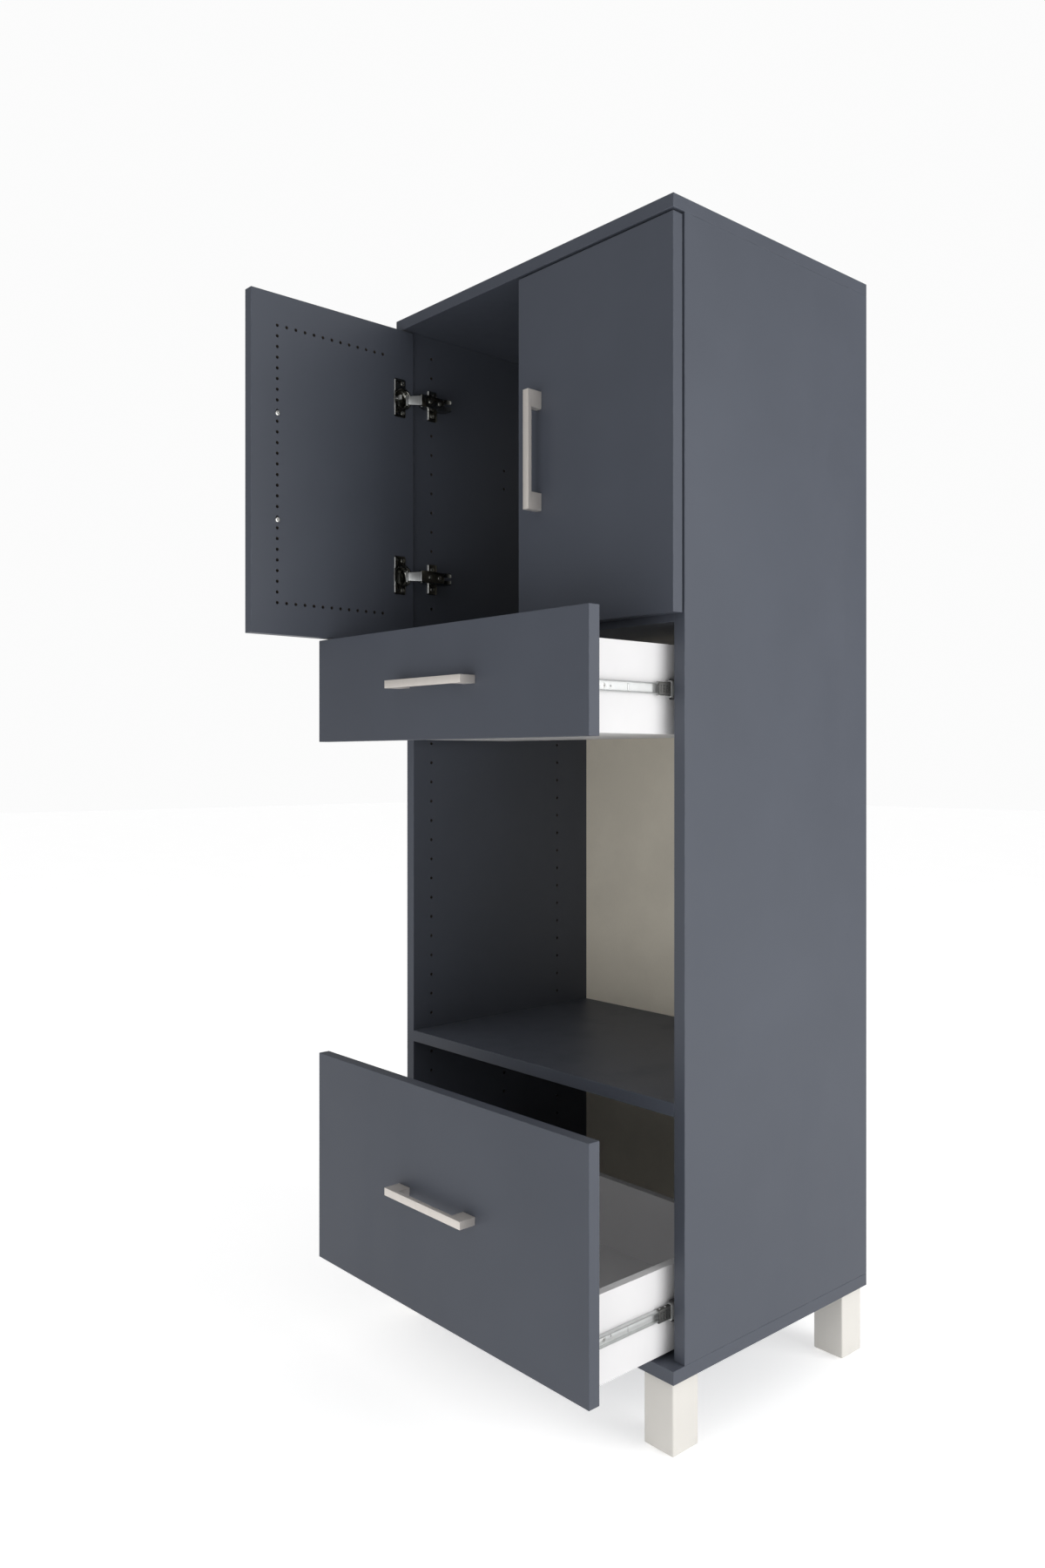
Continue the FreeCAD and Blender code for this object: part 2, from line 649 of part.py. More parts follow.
# ---------------------------------------------------------------- drawers
FIXING_HEAD = (3.6, 1.8)
FIXING_SHANK = (M4, 24.0)
FIXING_INSET = 40.0
FIXING_ABOVE = 25.0
FIXING_BELOW = 20.0
HANDLE_MARGIN = 10.0


def drawer(name, front, box_size, slide_z, handle_z):
    front_low, front_high = front[0] + BASE_Z, front[0] + BASE_Z + front[1]
    low, high = box_size[0] + BASE_Z, box_size[0] + BASE_Z + box_size[1]
    back = DRAWER_Y + BOX_DEPTH
    inner = BOX_HALF - BOX_WALL
    rebate_top = low + BOX_BOTTOM

    # The handle's screws pass through the box front too where it stands behind the handle.
    behind_handle = handle_z + BASE_Z < high - HANDLE_MARGIN
    through = BOARD + BOX_WALL if behind_handle else BOARD
    handle_place = (0, DRAWER_Y - BOARD, BASE_Z + handle_z)
    grip = placed([handle_bow()], *handle_place)
    grip_screws = placed(handle_screws(through), *handle_place)
    fixing_x = inner - FIXING_INSET
    fixings = [screw_y(x, DRAWER_Y + BOX_WALL, z, FIXING_HEAD, FIXING_SHANK, 1)
               for x in (-fixing_x, fixing_x) for z in (low + FIXING_ABOVE, high - FIXING_BELOW)]
    rail_screws = both(drawer_rail_screws(slide_z))

    front_board = eased(box(-DOOR_OUTER, DOOR_OUTER, DRAWER_Y - BOARD, DRAWER_Y,
                            front_low, front_high), FRONT_EDGE_RADIUS)
    bottom = box(-inner - BOX_REBATE, inner + BOX_REBATE, DRAWER_Y + BOX_WALL - BOX_REBATE,
                 back - BOX_WALL + BOX_REBATE, low, rebate_top)
    side = box(-BOX_HALF, -inner, DRAWER_Y, back, low, high)
    end = box(-inner, inner, back - BOX_WALL, back, low, high)
    box_front = box(-inner, inner, DRAWER_Y, DRAWER_Y + BOX_WALL, low, high)
    screws = grip_screws + fixings + rail_screws

    save(name + "_front", minus(front_board, screws))
    save(name + "_box_front", minus(box_front, [bottom] + screws))
    save(name + "_left_side", minus(side, [bottom] + screws))
    save(name + "_right_side", minus(mirrored(side), [bottom] + screws))
    save(name + "_back", minus(end, [bottom]))
    save(name + "_bottom", bottom)
    save(name + "_handle", grip)
    save(name + "_handle_screws", grip_screws)
    save(name + "_box_screws", fixings + rail_screws)
    save(name + "_rails", both([drawer_rail(slide_z)]))
    save(name + "_middle_rails", both([middle_rail(slide_z)]))
    save(name + "_cabinet_rails", both([cabinet_rail(slide_z)]))


drawer("upper_drawer", UPPER_FRONT, UPPER_BOX, SLIDE_Z[0], UPPER_HANDLE_Z)
drawer("lower_drawer", LOWER_FRONT, LOWER_BOX, SLIDE_Z[1], LOWER_HANDLE_Z)
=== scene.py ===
"""Looks for the tall pantry cabinet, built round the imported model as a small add-on."""
import json
import math

import bmesh
import bpy
from bpy.props import FloatProperty, FloatVectorProperty, IntProperty, PointerProperty
from mathutils import Matrix, Vector


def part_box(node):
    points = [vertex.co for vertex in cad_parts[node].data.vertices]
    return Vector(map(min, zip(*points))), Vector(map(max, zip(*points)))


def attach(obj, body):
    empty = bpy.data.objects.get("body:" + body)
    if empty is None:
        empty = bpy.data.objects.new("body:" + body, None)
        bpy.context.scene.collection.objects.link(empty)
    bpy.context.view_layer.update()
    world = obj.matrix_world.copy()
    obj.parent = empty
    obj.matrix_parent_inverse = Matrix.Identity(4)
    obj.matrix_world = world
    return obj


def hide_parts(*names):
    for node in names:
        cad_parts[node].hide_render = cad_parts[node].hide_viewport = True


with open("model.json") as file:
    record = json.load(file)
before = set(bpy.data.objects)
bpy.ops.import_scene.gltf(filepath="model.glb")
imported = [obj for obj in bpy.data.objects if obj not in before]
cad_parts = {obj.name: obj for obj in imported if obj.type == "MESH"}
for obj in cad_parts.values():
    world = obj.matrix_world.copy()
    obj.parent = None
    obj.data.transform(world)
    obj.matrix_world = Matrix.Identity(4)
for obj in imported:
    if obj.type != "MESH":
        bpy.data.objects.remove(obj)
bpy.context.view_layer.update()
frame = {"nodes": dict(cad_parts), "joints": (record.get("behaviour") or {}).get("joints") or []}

bl_info = {
    "name": "Pantry cabinet looks",
    "version": (1, 0, 0),
    "blender": (4, 5, 0),
    "location": "View3D > Sidebar > Pantry",
    "description": "Builds the visible fittings and finishes of a tall pantry cabinet",
    "category": "Object",
}

UP = Vector((0.0, 0.0, 1.0))
FULL_TURN = 2 * math.pi
SIDES = (-1, 1)


# ---------------------------------------------------------------- places taken from the frame
def joint_place(name):
    """The point of a joint's axis at rest."""
    for joint in frame["joints"]:
        if joint["name"] == name:
            return Vector(joint["pos_m"])
    raise RuntimeError("the packed model has no joint named " + name)


def middle(box):
    return (box[0] + box[1]) / 2


SIDE_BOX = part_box("right_side_panel")
INNER_X = SIDE_BOX[0].x
FRONT_Y = SIDE_BOX[0].y
CLOSED_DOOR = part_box("right_door_panel")
CUP_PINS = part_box("right_hinge_cup_pins")
CUP_PIN_HALF = 0.012
HINGE_Z = sorted({round(z, 5) for z in (CUP_PINS[0].z + CUP_PIN_HALF,
                                        CUP_PINS[1].z - CUP_PIN_HALF)})
ARM_AXIS = joint_place("right_link_turn")
CUP_AXIS = joint_place("right_door_swing")
OPEN_LINK_TURN = math.radians(33.66)
OPEN_DOOR_TURN = math.radians(-123.66)


def colour_property(name, description, default):
    return FloatVectorProperty(name=name, description=description, default=default, size=3,
                               min=0.0, max=1.0, subtype="COLOR")


def length_property(name, description, default):
    return FloatProperty(name=name, description=description, default=default, min=0.0,
                         subtype="DISTANCE", unit="LENGTH", precision=5)


# ---------------------------------------------------------------- settings
class PantryColours(bpy.types.PropertyGroup):
    laminate: colour_property("Laminate", "Slate melamine on the carcass and the fronts",
                              (0.070, 0.0785, 0.0993))
    white: colour_property("Drawer white", "White melamine of the drawer boxes",
                           (0.735, 0.728, 0.732))
    # The core colour is far darker than real chipboard: painted shade for the inside of the drilled
    # holes and grooves.
    core: colour_property("Board core with painted shade", "Chipboard that shows inside drilled holes",
                          (0.050, 0.042, 0.036))
    back: colour_property("Back board", "Warm grey face of the back board", (0.88, 0.818, 0.69))
    leg: colour_property("Leg lacquer", "Cream lacquer on the legs", (0.70, 0.678, 0.635))
    nickel: colour_property("Handle nickel", "Satin nickel of the handles", (0.80, 0.75, 0.70))
    # The hinge nickel is set far darker than real nickel: painted shade for the dark inside of the
    # cabinet that the hinges reflect.
    hinge: colour_property("Hinge nickel", "Hinge nickel darkened as painted shade", (0.30, 0.30, 0.275))
    zinc: colour_property("Slide zinc", "Bright zinc plating of the slides", (0.68, 0.69, 0.685))
    beech: colour_property("Beech", "Beech of the dowels", (0.58, 0.38, 0.21))
    plastic: colour_property("Dark plastic", "Leg glides and slide bumpers", (0.03, 0.03, 0.032))


class PantryHandle(bpy.types.PropertyGroup):
    bar: length_property("Bar thickness", "How thick the bar is from front to back", 0.007)
    foot: length_property("Foot length", "Length of each foot along the handle", 0.025)
    outer_edge: length_property("Outer edge", "Rounding of the outside edges", 0.0008)
    inner_corner: length_property("Inner corner", "Rounding where a foot meets the bar", 0.0016)


class PantryHinge(bpy.types.PropertyGroup):
    steel: length_property("Arm steel", "Thickness of the pressed arm", 0.0015)
    plate_steel: length_property("Plate steel", "Thickness of the mounting plate", 0.002)
    cup_radius: length_property("Cup radius", "Outside radius of the cup", 0.0175)
    cup_depth: length_property("Cup depth", "How far the cup goes into the door", 0.0125)
    flange_width: length_property("Flange width", "Width of the cup's flange", 0.022)
    flange_lap: length_property("Flange lap", "Flange past the cup's middle, to the door's edge",
                                0.0055)
    flange_height: length_property("Flange height", "Height of the cup's flange", 0.062)
    link_width: length_property("Link width", "Width of the link at the arm", 0.0156)


class PantrySlide(bpy.types.PropertyGroup):
    steel: length_property("Rail steel", "Thickness of the rolled rails", 0.0012)
    fold: length_property("Fold radius", "Bend radius of the rails' corners", 0.0014)
    ball_pitch: length_property("Ball pitch", "Distance between two balls", 0.0052)


class PantryStage(bpy.types.PropertyGroup):
    camera_place: FloatVectorProperty(name="Camera place", description="Where the camera stands",
                                      default=(1.30358, -1.37190, 0.89294), size=3,
                                      subtype="TRANSLATION", unit="LENGTH")
    camera_turn: FloatProperty(name="Camera turn", description="Turn of the camera about upright",
                               default=math.radians(48.295), subtype="ANGLE", unit="ROTATION")
    lens: FloatProperty(name="Lens", description="Focal length in millimetres", default=27.405)
    shift: FloatProperty(name="Shift", description="Upward shift of the lens", default=-0.01428)
    floor_size: length_property("Floor size", "Width of the floor", 40.0)
    cut: IntProperty(name="Floor cuts", description="Cuts along each side of the floor",
                     default=8, min=1)
    floor_colour: colour_property("Floor colour", "Colour of the pale floor", (0.84, 0.84, 0.84))
    floor_glow: FloatProperty(name="Floor glow", description="Light given off by the floor",
                              default=0.36)
    floor_shown: FloatProperty(name="Floor shown", default=0.53,
                               description="Glow of the floor as the camera sees it")
    background: FloatProperty(name="Background", description="Brightness behind the cabinet",
                              default=0.97)
    mirrored_light: FloatProperty(name="Mirrored light", default=0.24,
                                  description="Brightness of the surround seen in metal")
    sky_light: FloatProperty(name="Sky light", description="Light from above", default=0.73)
    side_light: FloatProperty(name="Side light", description="Watts of the side light",
                              default=71.0)
    low_front_light: FloatProperty(name="Low front light", default=9.0,
                                   description="Watts of the light near the floor in front")
    front_light: FloatProperty(name="Front light", description="Watts of the light in front",
                               default=14.0)


# ---------------------------------------------------------------- shader helpers
def fill(tree, made, sockets):
    """Links those of a node's inputs that are given a socket, and sets the others."""
    for key, value in sockets.items():
        if isinstance(value, bpy.types.NodeSocket):
            tree.links.new(value, made.inputs[key])
        else:
            made.inputs[key].default_value = value
    return made


def put(tree, kind, sockets=None, **settings):
    """Adds a shader node, sets it, and fills its inputs."""
    made = tree.nodes.new("ShaderNode" + kind)
    for key, value in settings.items():
        setattr(made, key, value)
    return fill(tree, made, sockets or {})


def calc(tree, operation, first, second=0.0):
    return put(tree, "Math", {0: first, 1: second}, operation=operation).outputs[0]


def vector_calc(tree, operation, first, second=(0.0, 0.0, 0.0)):
    return put(tree, "VectorMath", {0: first, 1: second}, operation=operation).outputs[0]


def ramp(tree, value, low, high, to_low=0.0, to_high=1.0):
    """Carries a value from one range smoothly to another."""
    return put(tree, "MapRange", {"Value": value, "From Min": low, "From Max": high,
                                  "To Min": to_low, "To Max": to_high},
               interpolation_type="SMOOTHSTEP").outputs[0]


def mix_colour(tree, share, first, second, blend="MIX"):
    made = put(tree, "Mix", {0: share, 6: first, 7: second}, data_type="RGBA", blend_type=blend)
    return made.outputs[2]


def rgba(colour, scale=1.0):
    return tuple(c * scale for c in colour[:3]) + (1.0,)


def noise(tree, place, scale, detail=2.0, roughness=0.5):
    return put(tree, "TexNoise", {"Vector": place, "Scale": scale, "Detail": detail,
                                  "Roughness": roughness}).outputs[0]


def group_tree(name, inputs, outputs):
    """An empty node group with named sockets. Returns it with its input and output nodes."""
    tree = bpy.data.node_groups.new(name, "ShaderNodeTree")
    for label, kind, default in inputs:
        socket = tree.interface.new_socket(name=label, in_out="INPUT", socket_type=kind)
        socket.default_value = default
    for label, kind in outputs:
        tree.interface.new_socket(name=label, in_out="OUTPUT", socket_type=kind)
    return tree, tree.nodes.new("NodeGroupInput"), tree.nodes.new("NodeGroupOutput")


def use_group(tree, group, sockets):
    made = tree.nodes.new("ShaderNodeGroup")
    made.node_tree = group
    return fill(tree, made, sockets)


FLOAT, VECTOR, COLOUR = "NodeSocketFloat", "NodeSocketVector", "NodeSocketColor"
NOWHERE = (0.0, 0.0, 0.0)
WHITE = (1.0, 1.0, 1.0, 1.0)


def board_skin_group():
    """Finds, from a board's box, where its core is cut open and where its arrises run."""
    tree, ins, outs = group_tree("Board skin", [
        ("Place", VECTOR, NOWHERE), ("Middle", VECTOR, NOWHERE), ("Half size", VECTOR, NOWHERE),
        ("Skin", FLOAT, 0.0007), ("Arris", FLOAT, 0.0016), ("Band", FLOAT, 0.0011),
    ], [("Core", FLOAT), ("Worn edge", FLOAT), ("Seam", FLOAT)])
    off = vector_calc(tree, "SUBTRACT", ins.outputs["Place"], ins.outputs["Middle"])
    off = vector_calc(tree, "ABSOLUTE", off)
    deep = vector_calc(tree, "SUBTRACT", ins.outputs["Half size"], off)
    x, y, z = put(tree, "SeparateXYZ", {0: deep}).outputs
    least = calc(tree, "MINIMUM", calc(tree, "MINIMUM", x, y), z)
    second = calc(tree, "MAXIMUM", calc(tree, "MINIMUM", x, y),
                  calc(tree, "MINIMUM", calc(tree, "MAXIMUM", x, y), z))
    core = calc(tree, "GREATER_THAN", least, ins.outputs["Skin"])
    near = ramp(tree, second, 0.0, ins.outputs["Arris"], 1.0, 0.0)
    patchy = ramp(tree, noise(tree, ins.outputs["Place"], 38.0, 4.0, 0.6), 0.42, 0.7)
    gap = calc(tree, "ABSOLUTE", calc(tree, "SUBTRACT", second, ins.outputs["Band"]))
    seam = ramp(tree, gap, 0.00004, 0.00016, 1.0, 0.0)
    tree.links.new(core, outs.inputs["Core"])
    tree.links.new(calc(tree, "MULTIPLY", near, patchy), outs.inputs["Worn edge"])
    tree.links.new(seam, outs.inputs["Seam"])
    return tree


def melamine_group():
    """Fine orange-peel of a melamine face, with faint cloudy variation and wiped smears."""
    tree, ins, outs = group_tree("Melamine face", [
        ("Place", VECTOR, NOWHERE), ("Grain size", FLOAT, 0.0011), ("Cloud size", FLOAT, 0.22),
    ], [("Cloud", FLOAT), ("Grain", FLOAT), ("Smear", FLOAT)])
    place = ins.outputs["Place"]
    fine = calc(tree, "DIVIDE", 1.0, ins.outputs["Grain size"])
    wide = calc(tree, "DIVIDE", 1.0, ins.outputs["Cloud size"])
    grain = put(tree, "TexVoronoi", {"Vector": place, "Scale": fine, "Randomness": 1.0},
                feature="SMOOTH_F1").outputs[0]
    speck = noise(tree, place, calc(tree, "MULTIPLY", fine, 0.6), 2.0, 0.6)
    both = calc(tree, "ADD", calc(tree, "MULTIPLY", grain, 0.6), calc(tree, "MULTIPLY", speck, 0.4))
    stretched = vector_calc(tree, "MULTIPLY", place, (1.0, 1.0, 0.28))
    smear = ramp(tree, noise(tree, stretched, calc(tree, "MULTIPLY", wide, 2.6), 5.0, 0.62),
                 0.45, 0.75)
    tree.links.new(noise(tree, place, wide, 4.0, 0.55), outs.inputs["Cloud"])
    tree.links.new(both, outs.inputs["Grain"])
    tree.links.new(smear, outs.inputs["Smear"])
    return tree


def brushed_group():
    """Fine drawn lines along one axis, plus the soft blotches of a plated surface."""
    tree, ins, outs = group_tree("Drawn metal", [
        ("Place", VECTOR, NOWHERE), ("Squeeze", VECTOR, (1.0, 1.0, 1.0)),
        ("Line scale", FLOAT, 2500.0),
    ], [("Lines", FLOAT), ("Blotch", FLOAT)])
    along = vector_calc(tree, "MULTIPLY", ins.outputs["Place"], ins.outputs["Squeeze"])
    tree.links.new(noise(tree, along, ins.outputs["Line scale"], 3.0, 0.6), outs.inputs["Lines"])
    tree.links.new(noise(tree, ins.outputs["Place"], 60.0, 3.0, 0.5), outs.inputs["Blotch"])
    return tree


def chip_group():
    """Pressed wood chips of a board's core."""
    tree, ins, outs = group_tree("Pressed chips", [
        ("Place", VECTOR, NOWHERE), ("Base", COLOUR, (0.1, 0.1, 0.1, 1.0)),
    ], [("Colour", COLOUR)])
    cells = put(tree, "TexVoronoi", {"Vector": ins.outputs["Place"], "Scale": 700.0})
    tone = put(tree, "SeparateColor", {0: cells.outputs["Color"]}).outputs[0]
    light = mix_colour(tree, 1.0, ins.outputs["Base"], (1.7, 1.6, 1.45, 1.0), "MULTIPLY")
    tree.links.new(mix_colour(tree, tone, ins.outputs["Base"], light), outs.inputs["Colour"])
    return tree


GROUPS = {}


def shared(name, maker):
    if name not in GROUPS:
        GROUPS[name] = maker()
    return GROUPS[name]


def new_material(name):
    """A material with its tree cleared down to a shader, and the piece's own coordinates."""
    made = bpy.data.materials.new(name)
    made.use_nodes = True
    tree = made.node_tree
    tree.nodes.clear()
    shader = tree.nodes.new("ShaderNodeBsdfPrincipled")
    out = tree.nodes.new("ShaderNodeOutputMaterial")
    tree.links.new(shader.outputs[0], out.inputs[0])
    return made, tree, shader, put(tree, "TexCoord").outputs["Object"]


def bump(tree, shader, height, distance, strength=1.0):
    made = put(tree, "Bump", {"Height": height, "Distance": distance, "Strength": strength})
    tree.links.new(made.outputs[0], shader.inputs["Normal"])


def board_material(name, box, colour, core, gloss=0.42, arris_paling=0.35, seam=0.10):
    """Melamine board. Its box tells faces from the core that holes and grooves lay open."""
    made, tree, shader, place = new_material(name)
    low, high = box
    skin = use_group(tree, shared("skin", board_skin_group), {
        "Place": place, "Middle": tuple((low + high) / 2), "Half size": tuple((high - low) / 2)})
    face = use_group(tree, shared("melamine", melamine_group), {"Place": place})
    chips = use_group(tree, shared("chips", chip_group), {"Place": place, "Base": rgba(core)})
    cloud = ramp(tree, face.outputs["Cloud"], 0.25, 0.75)
    tone = mix_colour(tree, cloud, rgba(colour, 0.955), rgba(colour, 1.045))
    tone = mix_colour(tree, calc(tree, "MULTIPLY", face.outputs["Smear"], 0.05), tone,
                      rgba([min(1.0, c * 1.5) for c in colour]))
    pale = [min(1.0, c * 1.55 + 0.02) for c in colour]
    # Lightens patches along the arrises.
    tone = mix_colour(tree, calc(tree, "MULTIPLY", skin.outputs["Worn edge"], arris_paling), tone,
                      rgba(pale))
    tone = mix_colour(tree, calc(tree, "MULTIPLY", skin.outputs["Seam"], seam), tone,
                      rgba(colour, 0.45))
    # Where holes and grooves cut the skin, the near-black core colour paints the shade inside them.
    tone = mix_colour(tree, skin.outputs["Core"], tone, chips.outputs["Colour"])
    tree.links.new(tone, shader.inputs["Base Color"])
    rough = calc(tree, "ADD", gloss, calc(tree, "MULTIPLY", face.outputs["Smear"], 0.07))
    rough = calc(tree, "ADD", rough, calc(tree, "MULTIPLY", face.outputs["Grain"], 0.05))
    rough = calc(tree, "MAXIMUM", rough, calc(tree, "MULTIPLY", skin.outputs["Core"], 0.9))
    tree.links.new(rough, shader.inputs["Roughness"])
    height = calc(tree, "SUBTRACT", calc(tree, "MULTIPLY", face.outputs["Grain"], 0.25),
                  calc(tree, "MULTIPLY", skin.outputs["Seam"], seam))
    bump(tree, shader, height, 0.00012, 0.35)
    shader.inputs["Specular IOR Level"].default_value = 0.32
    return made


def metal_material(name, colour, rough=0.3, squeeze=(1.0, 1.0, 1.0), lines=2500.0,
                   depth=0.00002, spread=0.12, dull=0.10, streak=0.18, metal=1.0):
    """Plated or drawn metal. squeeze shortens the pattern along the drawn direction."""
    made, tree, shader, place = new_material(name)
    drawn = use_group(tree, shared("drawn", brushed_group), {
        "Place": place, "Squeeze": squeeze, "Line scale": lines})
    blotch = ramp(tree, drawn.outputs["Blotch"], 0.3, 0.75)
    tone = mix_colour(tree, blotch, rgba(colour), rgba(colour, 1.0 - dull))
    tone = mix_colour(tree, calc(tree, "MULTIPLY", drawn.outputs["Lines"], streak), tone,
                      rgba(colour, 0.72))
    tree.links.new(tone, shader.inputs["Base Color"])
    value = calc(tree, "ADD", rough, calc(tree, "MULTIPLY", drawn.outputs["Lines"], spread))
    tree.links.new(calc(tree, "ADD", value, calc(tree, "MULTIPLY", blotch, 0.05)),
                   shader.inputs["Roughness"])
    shader.inputs["Metallic"].default_value = metal
    bump(tree, shader, drawn.outputs["Lines"], depth, 0.5)
    return made


def lacquer_material(name, colour, rough=0.38):
    """Sprayed lacquer with a light orange-peel and a faint tone shift."""
    made, tree, shader, place = new_material(name)
    face = use_group(tree, shared("melamine", melamine_group), {
        "Place": place, "Grain size": 0.0024, "Cloud size": 0.05})
    tone = mix_colour(tree, face.outputs["Cloud"], rgba(colour, 0.97),
                      rgba([min(1.0, c * 1.03) for c in colour]))
    # Darker in patches towards the bottom of the part.
    low_dark_patches = calc(tree, "MULTIPLY", ramp(tree, put(tree, "SeparateXYZ", {0: place}).outputs[2],
                                        0.004, 0.018, 1.0, 0.0), face.outputs["Smear"])
    tone = mix_colour(tree, calc(tree, "MULTIPLY", low_dark_patches, 0.25), tone, rgba(colour, 0.6))
    tree.links.new(tone, shader.inputs["Base Color"])
    tree.links.new(calc(tree, "ADD", rough, calc(tree, "MULTIPLY", face.outputs["Smear"], 0.1)),
                   shader.inputs["Roughness"])
    bump(tree, shader, face.outputs["Grain"], 0.00012, 0.3)
    return made


def fibre_material(name, colour):
    """Coated fibreboard: fine random fibres and a soft cloudy tone."""
    made, tree, shader, place = new_material(name)
    face = use_group(tree, shared("melamine", melamine_group), {
        "Place": place, "Grain size": 0.0016, "Cloud size": 0.12})
    flat = vector_calc(tree, "MULTIPLY", place, (1.0, 1.0, 0.12))
    fibre = ramp(tree, noise(tree, flat, 900.0, 3.0, 0.7), 0.35, 0.75)
    tone = mix_colour(tree, ramp(tree, face.outputs["Cloud"], 0.3, 0.7), rgba(colour, 0.96),
                      rgba(colour, 1.04))
    tone = mix_colour(tree, calc(tree, "MULTIPLY", fibre, 0.10), tone, rgba(colour, 0.7))
    tree.links.new(tone, shader.inputs["Base Color"])
    tree.links.new(calc(tree, "ADD", 0.55, calc(tree, "MULTIPLY", fibre, 0.12)),
                   shader.inputs["Roughness"])
    bump(tree, shader, calc(tree, "ADD", fibre, face.outputs["Grain"]), 0.00006, 0.3)
    return made


def wood_material(name, colour):
    """Close-grained hardwood for the dowels."""
    made, tree, shader, place = new_material(name)
    rings = put(tree, "TexWave", {"Vector": place, "Scale": 180.0, "Distortion": 6.0,
                                  "Detail": 3.0, "Detail Scale": 2.0}).outputs[1]
    tree.links.new(mix_colour(tree, calc(tree, "MULTIPLY", rings, 0.6), rgba(colour),
                              rgba(colour, 0.62)), shader.inputs["Base Color"])
    tree.links.new(calc(tree, "ADD", 0.5, calc(tree, "MULTIPLY", rings, 0.2)),
                   shader.inputs["Roughness"])
    bump(tree, shader, rings, 0.00008, 0.4)
    return made


def plastic_material(name, colour):
    made, tree, shader, place = new_material(name)
    pores = noise(tree, place, 2200.0, 2.0, 0.6)
    tree.links.new(mix_colour(tree, ramp(tree, pores, 0.3, 0.7), rgba(colour, 0.85),
                              rgba(colour, 1.25)), shader.inputs["Base Color"])
    tree.links.new(calc(tree, "ADD", 0.4, calc(tree, "MULTIPLY", pores, 0.25)),
                   shader.inputs["Roughness"])
    bump(tree, shader, pores, 0.00003, 0.4)
    return made


FINISHES = {}


def finish(name):
    """A finish by its everyday name, made once from the scene's colours."""
    if name in FINISHES:
        return FINISHES[name]
    c = bpy.context.scene.pantry_colours
    makers = {
        "nickel_lying": lambda: metal_material("Nickel drawn sideways", c.nickel, 0.36,
                                               (0.03, 1.0, 1.0), 5000.0, 0.000006, 0.05,
                                               0.04, 0.05, 0.5),
        "nickel_upright": lambda: metal_material("Nickel drawn upright", c.nickel, 0.36,
                                                 (1.0, 1.0, 0.03), 5000.0, 0.000006, 0.05,
                                                 0.04, 0.05, 0.5),
        # Darkened hinge nickel: its dark tone is painted shade.
        "hinge": lambda: metal_material("Polished hinge nickel", c.hinge, 0.14, lines=900.0,
                                        depth=0.000006, spread=0.10),
        # Bright plating for the rivets and the dampers; on the edge strips of the hinge plates and
        # cups it paints a highlight.
        "chrome_and_glint": lambda: metal_material("Bright link plating", (0.80, 0.81, 0.80), 0.20,
                                         lines=1500.0, depth=0.00001),
        "link": lambda: metal_material("Link steel", (0.41, 0.42, 0.42), 0.26, lines=1500.0,
                                       depth=0.00001),
        "zinc": lambda: metal_material("Slide zinc", c.zinc, 0.34, (1.0, 0.03, 1.0), 1800.0,
                                       0.00001, 0.08, 0.08, 0.1, 0.75),
        "screw": lambda: metal_material("Screw zinc", (0.74, 0.74, 0.72), 0.24, lines=1400.0),
        "hinge_screw": lambda: metal_material("Hinge screw nickel", (0.52, 0.52, 0.49), 0.18,
                                              lines=1400.0, depth=0.000006),
        "casting": lambda: metal_material("Zinc casting", (0.50, 0.51, 0.52), 0.42,
                                          lines=1100.0, depth=0.00006),
        # The cage is set near black, far darker than real steel: painted shade for the shadowed
        # inside of the slide.
        "cage": lambda: metal_material("Ball cage steel", (0.13, 0.13, 0.125), 0.38,
                                       lines=1200.0),
        "ball": lambda: metal_material("Bearing balls", (0.88, 0.88, 0.87), 0.08, lines=500.0,
                                       depth=0.000002, spread=0.03),
        "leg": lambda: lacquer_material("Cream leg lacquer", c.leg),
        "plastic": lambda: plastic_material("Dark moulded plastic", c.plastic),
        "beech": lambda: wood_material("Dowel beech", c.beech),
        "back": lambda: fibre_material("Back board face", c.back),
    }
    FINISHES[name] = makers[name]()
    return FINISHES[name]


# ---------------------------------------------------------------- modelling helpers
def block(bm, low, high):
    """A block between two corners. Returns its vertices."""
    low, high = Vector(low), Vector(high)
    made = bmesh.ops.create_cube(bm, size=1.0)["verts"]
    bmesh.ops.scale(bm, vec=high - low, verts=made)
    bmesh.ops.translate(bm, vec=(high + low) / 2, verts=made)
    return made


def rod(bm, start, end, radius, segments=24):
    """A closed round bar. Returns its vertices."""
    start, end = Vector(start), Vector(end)
    run = end - start
    place = Matrix.Translation((start + end) / 2) @ run.to_track_quat("Z", "Y").to_matrix().to_4x4()
    return bmesh.ops.create_cone(bm, cap_ends=True, cap_tris=False, segments=segments,
                                 radius1=radius, radius2=radius, depth=run.length,
                                 matrix=place)["verts"]


def edges_of(verts, least=0.6):
    """The edges among these vertices where two faces meet at more than this angle."""
    own = set(verts)
    return [e for e in {e for v in verts for e in v.link_edges}
            if e.verts[0] in own and e.verts[1] in own and len(e.link_faces) == 2
            and e.calc_face_angle(0.0) > least]


def ease(bm, edges, width, segments=2):
    """Rounds edges."""
    return bmesh.ops.bevel(bm, geom=edges, offset=width, offset_type="OFFSET", segments=segments,
                           profile=0.5, affect="EDGES", clamp_overlap=True, material=-1)


def eased_rod(bm, start, end, radius, width, segments=24):
    ease(bm, edges_of(rod(bm, start, end, radius, segments=segments)), width, 2)


